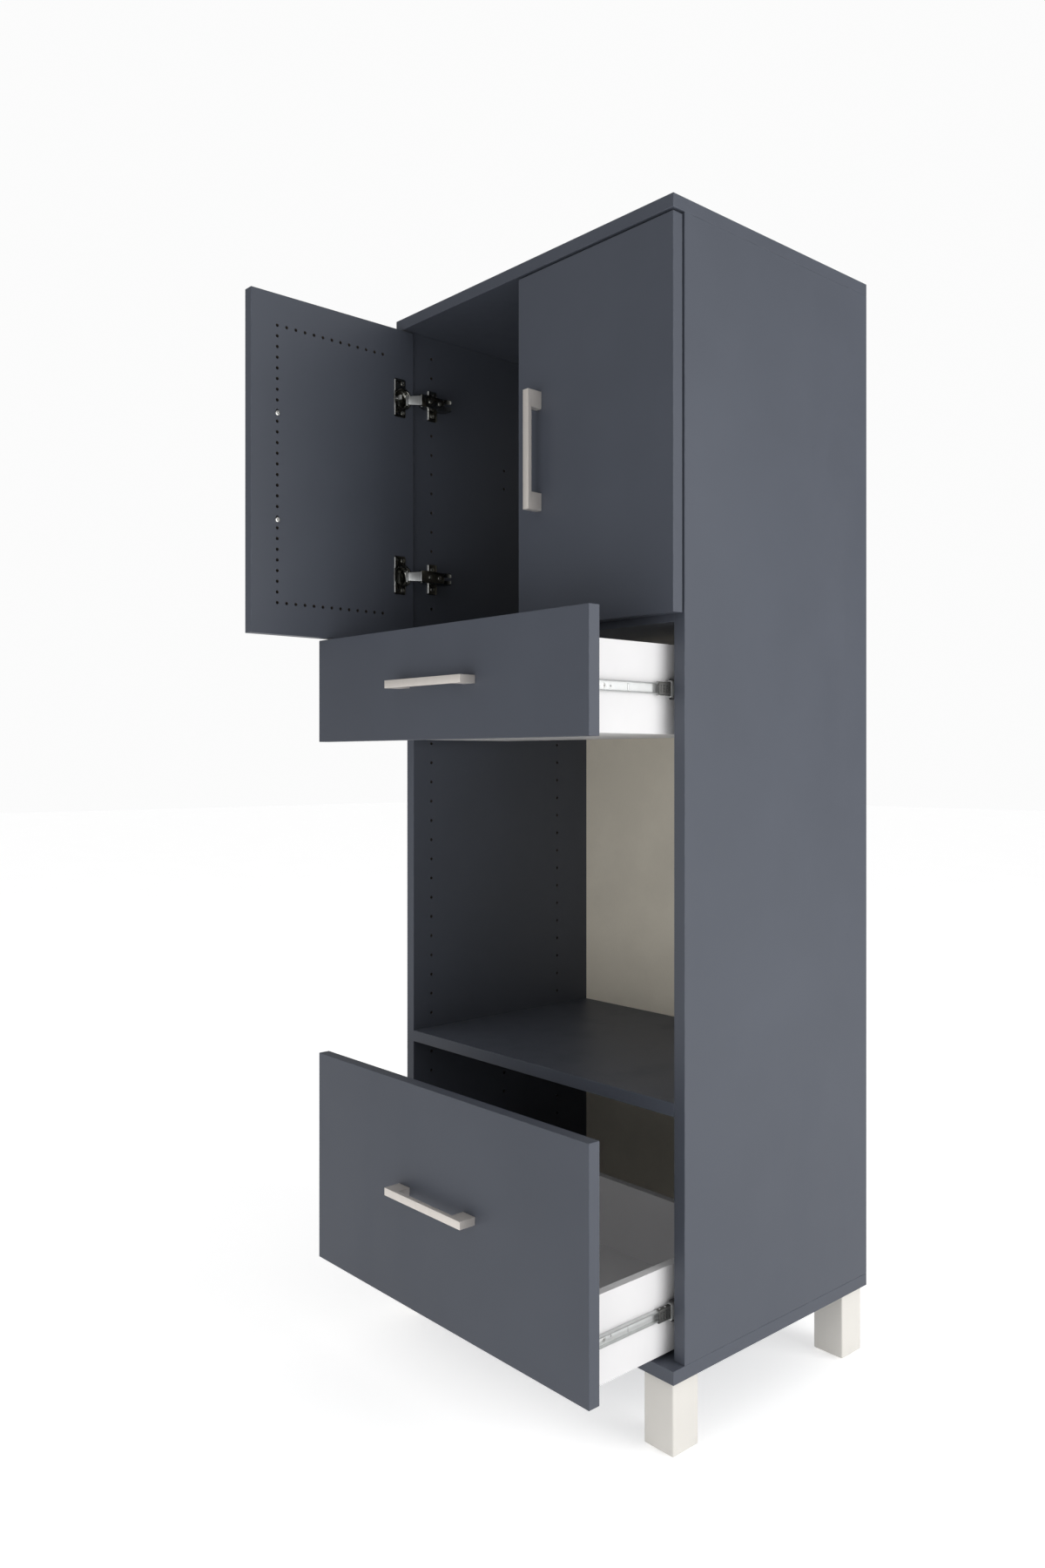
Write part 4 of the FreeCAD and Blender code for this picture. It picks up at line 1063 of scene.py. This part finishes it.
class PANTRY_OT_build_hinges(bpy.types.Operator):
    """Builds the four concealed hinges: plates, arms, links, cups, pins and screws"""
    bl_idname = "pantry.build_hinges"
    bl_label = "Build the hinges"

    def execute(self, context):
        sizes = context.scene.pantry_hinge
        cup_low, cup_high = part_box("right_hinge_cup_screws")
        cup_x = (cup_low.x + cup_high.x) / 2
        self.on_cabinet("hinge_mounting_plates", hinge_plate(sizes), "hinge", "hinge_nickel",
                        ("hinge_plates",))
        # Bright strips that paint a highlight along the front of each plate's wings.
        self.on_cabinet("hinge_plate_lips", plate_painted_glints(), "chrome_and_glint", "hinge_chrome", ())
        self.on_cabinet("hinge_channel_arms", hinge_arm(sizes), "hinge", "hinge_nickel",
                        ("hinge_arms",))
        self.on_cabinet("hinge_arm_rivets", self.rivet(ARM_AXIS, ARM_PIN_HALF, 0.0015, 0.0005),
                        "chrome_and_glint", "hinge_chrome", ("hinge_arm_pins",))
        self.on_cabinet("hinge_fixing_screws", self.cabinet_screws(), "hinge_screw", "screw_steel",
                        ("hinge_screws",))
        cup_pin = self.rivet(CUP_AXIS, CUP_PIN_HALF, 0.0012, 0.0004)
        doors = {
            "hinge_cup_shells": (hinge_cup(sizes, cup_x), "hinge", "hinge_nickel", "hinge_cups"),
            # Bright strips that paint a highlight along the free side of each cup's flange.
            "hinge_cup_lips": (cup_painted_glint(sizes, cup_x), "chrome_and_glint", "hinge_chrome", ""),
            "hinge_cup_rivets": (cup_pin, "chrome_and_glint", "hinge_chrome", "hinge_cup_pins"),
            "hinge_cup_fixings": (self.cup_screws(cup_x), "hinge_screw", "screw_steel",
                                  "hinge_cup_screws"),
        }
        for side, place in (("right", Matrix.Identity(4)), ("left", left_door_place())):
            for name, (part, metal, slot, node) in doors.items():
                self.set_of(side + "_" + name, side + "_door", part, place, metal, slot,
                            (side + "_" + node,) if node else ())
            bm = bmesh.new()
            part = damper(cup_x)
            add_copy(bm, part, at_height(HINGE_Z[-1]) @ place)
            part.free()
            piece(bm, side + "_hinge_damper", side + "_door", finish("chrome_and_glint"))
        link = hinge_link(sizes)
        for side, place in (("right", Matrix.Identity(4)), ("left", left_link_place())):
            self.set_of(side + "_hinge_link_plates", side + "_hinge_link", link, place, "link",
                        "hinge_chrome", (side + "_hinge_links",))
        for part in [link] + [d[0] for d in doors.values()]:
            part.free()
        return {"FINISHED"}

    @staticmethod
    def rivet(axis, half, radius, edge):
        """A pin along an upright axis, its middle at z = 0."""
        bm = bmesh.new()
        centre = axis.xy.to_3d()
        eased_rod(bm, centre - UP * half, centre + UP * half, radius, edge)
        return bm

    @staticmethod
    def set_of(name, body, part, place, metal, slot, nodes):
        """The same part at both hinge heights of one door."""
        bm = bmesh.new()
        for z in HINGE_Z:
            add_copy(bm, part, at_height(z) @ place)
        piece(bm, name, body, finish(metal), nodes)

    @staticmethod
    def on_cabinet(name, part, metal, slot, nodes):
        """The same part at all four hinges."""
        bm = bmesh.new()
        for z in HINGE_Z:
            for place in (Matrix.Identity(4), MIRROR):
                add_copy(bm, part, at_height(z) @ place)
        part.free()
        piece(bm, name, "cabinet", finish(metal), nodes)

    @staticmethod
    def cabinet_screws():
        bm = bmesh.new()
        inward = Vector((-1, 0, 0))
        plate = cross_screw(**SCREWS["hinge_plate"])
        for side in SIDES:
            point = (INNER_X - 0.002, ROW_Y, side * PITCH / 2)
            add_copy(bm, plate, facing(point, inward, 0.4 * side))
        arm = cross_screw(**SCREWS["hinge_arm"])
        for step, spin in ((0.018, 0.2), (0.037, 0.9)):
            add_copy(bm, arm, facing((INNER_X - ARM_STANDS_OFF, FRONT_Y + step, 0), inward, spin))
        plate.free()
        arm.free()
        return bm

    @staticmethod
    def cup_screws(cup_x):
        bm = bmesh.new()
        screw = cross_screw(**SCREWS["cup"])
        for side in SIDES:
            point = (cup_x, DOOR_INSIDE_Y + FLANGE_STEEL, side * CUP_SCREW_OUT)
            add_copy(bm, screw, facing(point, (0, 1, 0), 0.6 * side))
        screw.free()
        return bm


# ---------------------------------------------------------------- slides
DRAWERS = ("upper_drawer", "lower_drawer")
OUTLINES = {
    "cabinet": [(9.3, 11.7), (8.3, 12.9), (0.6, 12.9), (0.6, -12.9), (8.3, -12.9), (9.3, -11.7)],
    "middle": [(9.6, 9.3), (8.8, 10.2), (3.2, 10.2), (3.2, -10.2), (8.8, -10.2), (9.6, -9.3)],
    "drawer": [(5.6, 5.9), (6.3, 6.7), (12.1, 6.7), (12.1, -6.7), (6.3, -6.7), (5.6, -5.9)],
}
MM = 0.001
BOX_SCREW_STEPS = (0.035, 0.163, 0.259)
RAIL_SCREW_YS = (ROW_Y, ROW_Y + 7 * PITCH)
BALL_ROW = 8.45
BALL_RADIUS = 0.00112
CAGE_AHEAD = 0.022
CAGE_BEHIND = 0.095
CAP_LONG = 0.007


def rolled_rail(kind, start, end, sizes, tools=None, thick=None):
    """A rail rolled from strip for the right side panel, its middle height at z = 0."""
    bm = bmesh.new()
    points = [bm.verts.new((INNER_X - near * MM, start, z * MM)) for near, z in OUTLINES[kind]]
    stretch(bm, [bm.edges.new(pair) for pair in zip(points, points[1:])], (0, end - start, 0))
    folds = [e for e in bm.edges if len(e.link_faces) == 2]
    ease(bm, folds, sizes.fold * 0.6, 3)
    return worked(bm, thick=thick or sizes.steel, tools=tools)


def bores(places, x_low, x_high):
    """Tools that drill through a rail's web at (y, radius) places."""
    bm = bmesh.new()
    for y, radius in places:
        rod(bm, (x_low, y, 0), (x_high, y, 0), radius, segments=20)
    return bm


def ball_cage(start, end, sizes, balls_out):
    """Perforated cage between the middle and the drawer rail, with its two rows of balls."""
    bm = bmesh.new()
    corners = [(9.8, BALL_ROW), (4.5, BALL_ROW), (4.5, -BALL_ROW), (9.8, -BALL_ROW)]
    points = [bm.verts.new((INNER_X - near * MM, start, z * MM)) for near, z in corners]
    stretch(bm, [bm.edges.new(pair) for pair in zip(points, points[1:])], (0, end - start, 0))
    ease(bm, [e for e in bm.edges if len(e.link_faces) == 2], 0.0008, 3)
    count = int((end - start - 0.006) / sizes.ball_pitch)
    tools = bmesh.new()
    for k in range(count):
        y = start + 0.004 + k * sizes.ball_pitch
        for row in (-0.0038, 0.0, 0.0038):
            rod(tools, (INNER_X - 0.006, y, row), (INNER_X - 0.003, y, row), 0.0011, segments=10)
        if k % 2 == 0:
            for side in SIDES:
                centre = Vector((INNER_X - 0.0073, y, side * BALL_ROW * MM))
                bmesh.ops.create_icosphere(balls_out, subdivisions=2, radius=BALL_RADIUS,
                                           matrix=Matrix.Translation(centre))
                rod(tools, centre - UP * 0.002, centre + UP * 0.002, BALL_RADIUS + 0.0001,
                    segments=10)
    return worked(bm, thick=0.0004, tools=tools)


class PANTRY_OT_build_slides(bpy.types.Operator):
    """Builds the ball-bearing slides: rails, ball cages, balls and their screws"""
    bl_idname = "pantry.build_slides"
    bl_label = "Build the slides"

    def execute(self, context):
        sizes = context.scene.pantry_slide
        for drawer in DRAWERS:
            low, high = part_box(drawer + "_cabinet_rails")
            z = (low.z + high.z) / 2
            web = INNER_X - 0.003, INNER_X + 0.002
            holes = [(y + step, r) for y in RAIL_SCREW_YS
                     for step, r in ((0.0, 0.00325), (0.014, 0.0022))]
            rail = rolled_rail("cabinet", low.y, high.y, sizes, bores(holes, *web))
            for end in (low.y + 0.002, high.y - 0.002):
                stop = block(rail, (INNER_X - 0.0085, end - 0.0012, -0.0045),
                             (INNER_X - 0.0005, end + 0.0012, 0.0045))
                ease(rail, edges_of(stop), 0.0005, 2)
            self.pair(drawer + "_cabinet_slide_rails", "cabinet", rail, z, "zinc", "slide_zinc",
                      drawer + "_cabinet_rails")
            cap = moved(rolled_rail("cabinet", low.y - 0.0002, low.y + CAP_LONG, sizes,
                                    thick=sizes.steel + 0.0006),
                        Matrix.Translation((-0.0004, 0, 0)))
            self.pair(drawer + "_slide_end_caps", "cabinet", cap, z, "plastic", None)
            middle_body = drawer.replace("drawer", "middle_rails")
            low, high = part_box(drawer + "_middle_rails")
            web = INNER_X - 0.005, INNER_X - 0.001
            holes = [(low.y + step, 0.003) for step in (0.02, 0.075, 0.15, 0.205)]
            rail = rolled_rail("middle", low.y, high.y, sizes, bores(holes, *web))
            self.pair(drawer + "_middle_slide_rails", middle_body, rail, z, "zinc", "slide_zinc",
                      drawer + "_middle_rails")
            balls = bmesh.new()
            cage = ball_cage(low.y - CAGE_AHEAD, low.y + CAGE_BEHIND, sizes, balls)
            self.pair(drawer + "_ball_cages", middle_body, cage, z, "cage", "slide_zinc")
            self.pair(drawer + "_bearing_balls", middle_body, balls, z, "ball", "slide_zinc")
            self.drawer_rails(drawer, z, sizes)
            self.screws(drawer, z)
        return {"FINISHED"}

    def drawer_rails(self, drawer, z, sizes):
        low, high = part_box(drawer + "_rails")
        web = INNER_X - 0.014, INNER_X - 0.010
        holes = [(low.y + step, 0.00325) for step in BOX_SCREW_STEPS]
        holes += [(low.y + step + 0.012, 0.0016) for step in BOX_SCREW_STEPS]
        rail = rolled_rail("drawer", low.y, high.y, sizes, bores(holes, *web))
        catch = block(rail, (INNER_X - 0.0118, low.y + 0.078, -0.0050),
                      (INNER_X - 0.0108, low.y + 0.080, 0.0050))
        ease(rail, edges_of(catch), 0.0004, 2)
        self.pair(drawer + "_box_slide_rails", drawer, rail, z, "zinc", "slide_zinc",
                  drawer + "_rails")

    @staticmethod
    def pair(name, body, part, z, metal, slot, node=None):
        """The same part on the right and, mirrored, on the left."""
        bm = bmesh.new()
        for place in (Matrix.Identity(4), MIRROR):
            add_copy(bm, part, at_height(z) @ place)
        part.free()
        piece(bm, name, body, finish(metal), (node,) if node else ())

    @staticmethod
    def screws(drawer, z):
        """Screws of the drawer rails and the drawer's front."""
        bm = bmesh.new()
        flat = cross_screw(**SCREWS["drawer_rail"])
        low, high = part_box(drawer + "_rails")
        for side in SIDES:
            for step in BOX_SCREW_STEPS:
                point = (side * (high.x - 0.0077), low.y + step, z)
                add_copy(bm, flat, facing(point, (side, 0, 0), step * 9))
        flat.free()
        box_low, box_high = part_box(drawer + "_box_front")
        pan = cross_screw(**SCREWS["box_front"])
        for side in SIDES:
            for height in (box_low.z + 0.025, box_high.z - 0.020):
                point = (side * (box_high.x - 0.040), box_high.y, height)
                add_copy(bm, pan, facing(point, (0, 1, 0), height * 7))
        pan.free()
        piece(bm, drawer + "_screw_set", drawer, finish("screw"),
              (drawer + "_box_screws",))


class PANTRY_OT_build_slide_screws(bpy.types.Operator):
    """Builds the screws that hold the cabinet rails to the side panels"""
    bl_idname = "pantry.build_slide_screws"
    bl_label = "Build the slide screws"

    def execute(self, context):
        bm = bmesh.new()
        flat = cross_screw(**SCREWS["cabinet_rail"])
        for drawer in DRAWERS:
            low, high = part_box(drawer + "_cabinet_rails")
            for y in RAIL_SCREW_YS:
                for side in SIDES:
                    point = (side * INNER_X, y, (low.z + high.z) / 2)
                    add_copy(bm, flat, facing(point, (-side, 0, 0), y * 11))
        flat.free()
        piece(bm, "slide_fixing_screws", "cabinet", finish("screw"),
              ("slide_screws",))
        return {"FINISHED"}


# ---------------------------------------------------------------- shelf cams
class PANTRY_OT_build_cams(bpy.types.Operator):
    """Builds the turned cams in the undersides of the fixed shelves"""
    bl_idname = "pantry.build_cams"
    bl_label = "Build the shelf cams"

    def execute(self, context):
        bm = bmesh.new()
        cam = bmesh.new()
        radius, deep = 0.0075, 0.0122
        rim = ring(cam, (0, 0, 0), radius - 0.0009, 32)
        mouth = cross_recess(cam, 0.0044, 0.0, 0.0032)
        bmesh.ops.triangle_fill(cam, use_beauty=True, use_dissolve=False, edges=rim + mouth,
                                normal=(0.0, 0.0, 1.0))
        rim = stretch(cam, rim, (0, 0, -0.0006), radius / (radius - 0.0009))
        rim = stretch(cam, rim, (0, 0, 0.0006 - deep))
        bmesh.ops.contextual_create(cam, geom=rim)
        bmesh.ops.recalc_face_normals(cam, faces=cam.faces)
        low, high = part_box("shelf_cams")
        for node in ("niche_shelf", "upper_shelf"):
            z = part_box(node)[0].z
            for x in (low.x + radius, high.x - radius):
                for y in (low.y + radius, high.y - radius):
                    add_copy(bm, cam, facing((x, y, z + 0.0001), (0, 0, -1), x * 5 + y * 3))
        cam.free()
        piece(bm, "turned_shelf_cams", "cabinet", finish("casting"),
              ("shelf_cams",))
        return {"FINISHED"}


# ---------------------------------------------------------------- stage
LAMPS = (
    # setting, place, aimed at, width, height
    ("side_light", (3.2, 0.85, 1.25), (0.3, 0.0, 0.9), 2.2, 2.6),
    ("low_front_light", (0.9, -1.9, 0.10), (0.0, -0.2, 0.8), 2.4, 0.9),
    ("front_light", (0.6, -3.6, 1.5), (0.0, 0.0, 1.0), 1.6, 2.4),
)


class PANTRY_OT_set_stage(bpy.types.Operator):
    """Sets up the pale floor, the soft lights, the white surround and the camera"""
    bl_idname = "pantry.set_stage"
    bl_label = "Set the stage"

    def execute(self, context):
        settings = context.scene.pantry_stage
        self.floor(settings)
        self.surround(context.scene, settings)
        for name, place, aim, width, height in LAMPS:
            self.lamp(name, Vector(place), Vector(aim), (width, height), getattr(settings, name))
        data = bpy.data.cameras.new("Camera")
        data.sensor_width = 36.0
        data.lens = settings.lens
        data.shift_y = settings.shift
        data.clip_end = 200.0
        camera = bpy.data.objects.new("Camera", data)
        camera.location = settings.camera_place
        camera.rotation_euler = (math.radians(90), 0.0, settings.camera_turn)
        context.scene.collection.objects.link(camera)
        context.scene.camera = camera
        context.scene.view_settings.view_transform = "Standard"
        return {"FINISHED"}

    @staticmethod
    def floor(settings):
        bm = bmesh.new()
        bmesh.ops.create_grid(bm, x_segments=settings.cut, y_segments=settings.cut,
                              size=settings.floor_size / 2)
        mesh = bpy.data.meshes.new("pale_floor")
        bm.to_mesh(mesh)
        bm.free()
        made, tree, shader, place = new_material("Pale floor")
        tone = noise(tree, place, 3.0, 3.0, 0.5)
        tree.links.new(mix_colour(tree, tone, rgba(settings.floor_colour, 0.985),
                                  rgba(settings.floor_colour, 1.0)), shader.inputs["Base Color"])
        tree.links.new(ramp(tree, tone, 0.3, 0.7, 0.62, 0.7), shader.inputs["Roughness"])
        shader.inputs["Specular IOR Level"].default_value = 0.2
        shader.inputs["Emission Color"].default_value = WHITE
        seen = put(tree, "LightPath").outputs["Is Camera Ray"]
        tree.links.new(ramp(tree, seen, 0.0, 1.0, settings.floor_glow, settings.floor_shown),
                       shader.inputs["Emission Strength"])
        mesh.materials.append(made)
        floor = bpy.data.objects.new("pale_floor", mesh)
        bpy.context.scene.collection.objects.link(floor)

    @staticmethod
    def surround(scene, settings):
        """White to look at, softer as a light."""
        world = bpy.data.worlds.new("White surround")
        world.use_nodes = True
        tree = world.node_tree
        tree.nodes.clear()
        shown = put(tree, "Background", {"Color": WHITE, "Strength": settings.background})
        place = put(tree, "TexCoord").outputs["Generated"]
        high = put(tree, "SeparateXYZ", {0: place}).outputs[2]
        tone = ramp(tree, high, 0.05, 0.75, 0.0, settings.sky_light)
        lit = put(tree, "Background", {"Color": WHITE, "Strength": tone})
        mirrored = put(tree, "Background", {"Color": WHITE, "Strength": settings.mirrored_light})
        rays = put(tree, "LightPath").outputs
        both = put(tree, "MixShader", {0: rays["Is Glossy Ray"], 1: lit.outputs[0],
                                       2: mirrored.outputs[0]})
        both = put(tree, "MixShader", {0: rays["Is Camera Ray"], 1: both.outputs[0],
                                       2: shown.outputs[0]})
        out = tree.nodes.new("ShaderNodeOutputWorld")
        tree.links.new(both.outputs[0], out.inputs[0])
        scene.world = world

    @staticmethod
    def lamp(name, place, aim, size, power):
        data = bpy.data.lights.new(name, "AREA")
        data.shape = "RECTANGLE"
        data.size, data.size_y = size
        data.energy = power
        lamp = bpy.data.objects.new(name, data)
        lamp.location = place
        lamp.rotation_euler = (aim - place).to_track_quat("-Z", "Y").to_euler()
        lamp.visible_camera = False
        bpy.context.scene.collection.objects.link(lamp)


# ---------------------------------------------------------------- add-on
SETTINGS = {
    "pantry_colours": PantryColours,
    "pantry_handle": PantryHandle,
    "pantry_hinge": PantryHinge,
    "pantry_slide": PantrySlide,
    "pantry_stage": PantryStage,
}
STEPS = (
    PANTRY_OT_finish_boards, PANTRY_OT_finish_hidden, PANTRY_OT_build_handles,
    PANTRY_OT_build_legs, PANTRY_OT_build_hinges, PANTRY_OT_build_slides,
    PANTRY_OT_build_slide_screws, PANTRY_OT_build_cams, PANTRY_OT_set_stage,
)


class PANTRY_PT_panel(bpy.types.Panel):
    """Settings and steps of the pantry cabinet"""
    bl_label = "Pantry cabinet"
    bl_space_type = "VIEW_3D"
    bl_region_type = "UI"
    bl_category = "Pantry"

    def draw(self, context):
        for name, kind in SETTINGS.items():
            box = self.layout.box()
            for setting in kind.__annotations__:
                box.prop(getattr(context.scene, name), setting)
        for step in STEPS:
            self.layout.operator(step.bl_idname)


def register():
    for kind in (*SETTINGS.values(), *STEPS, PANTRY_PT_panel):
        bpy.utils.register_class(kind)
    for name, kind in SETTINGS.items():
        setattr(bpy.types.Scene, name, PointerProperty(type=kind))


def unregister():
    for name in SETTINGS:
        delattr(bpy.types.Scene, name)
    for kind in (PANTRY_PT_panel, *reversed(STEPS), *reversed(list(SETTINGS.values()))):
        bpy.utils.unregister_class(kind)


def main():
    register()
    for step in STEPS:
        group, name = step.bl_idname.split(".")
        getattr(getattr(bpy.ops, group), name)()


if __name__ == "__main__":
    main()
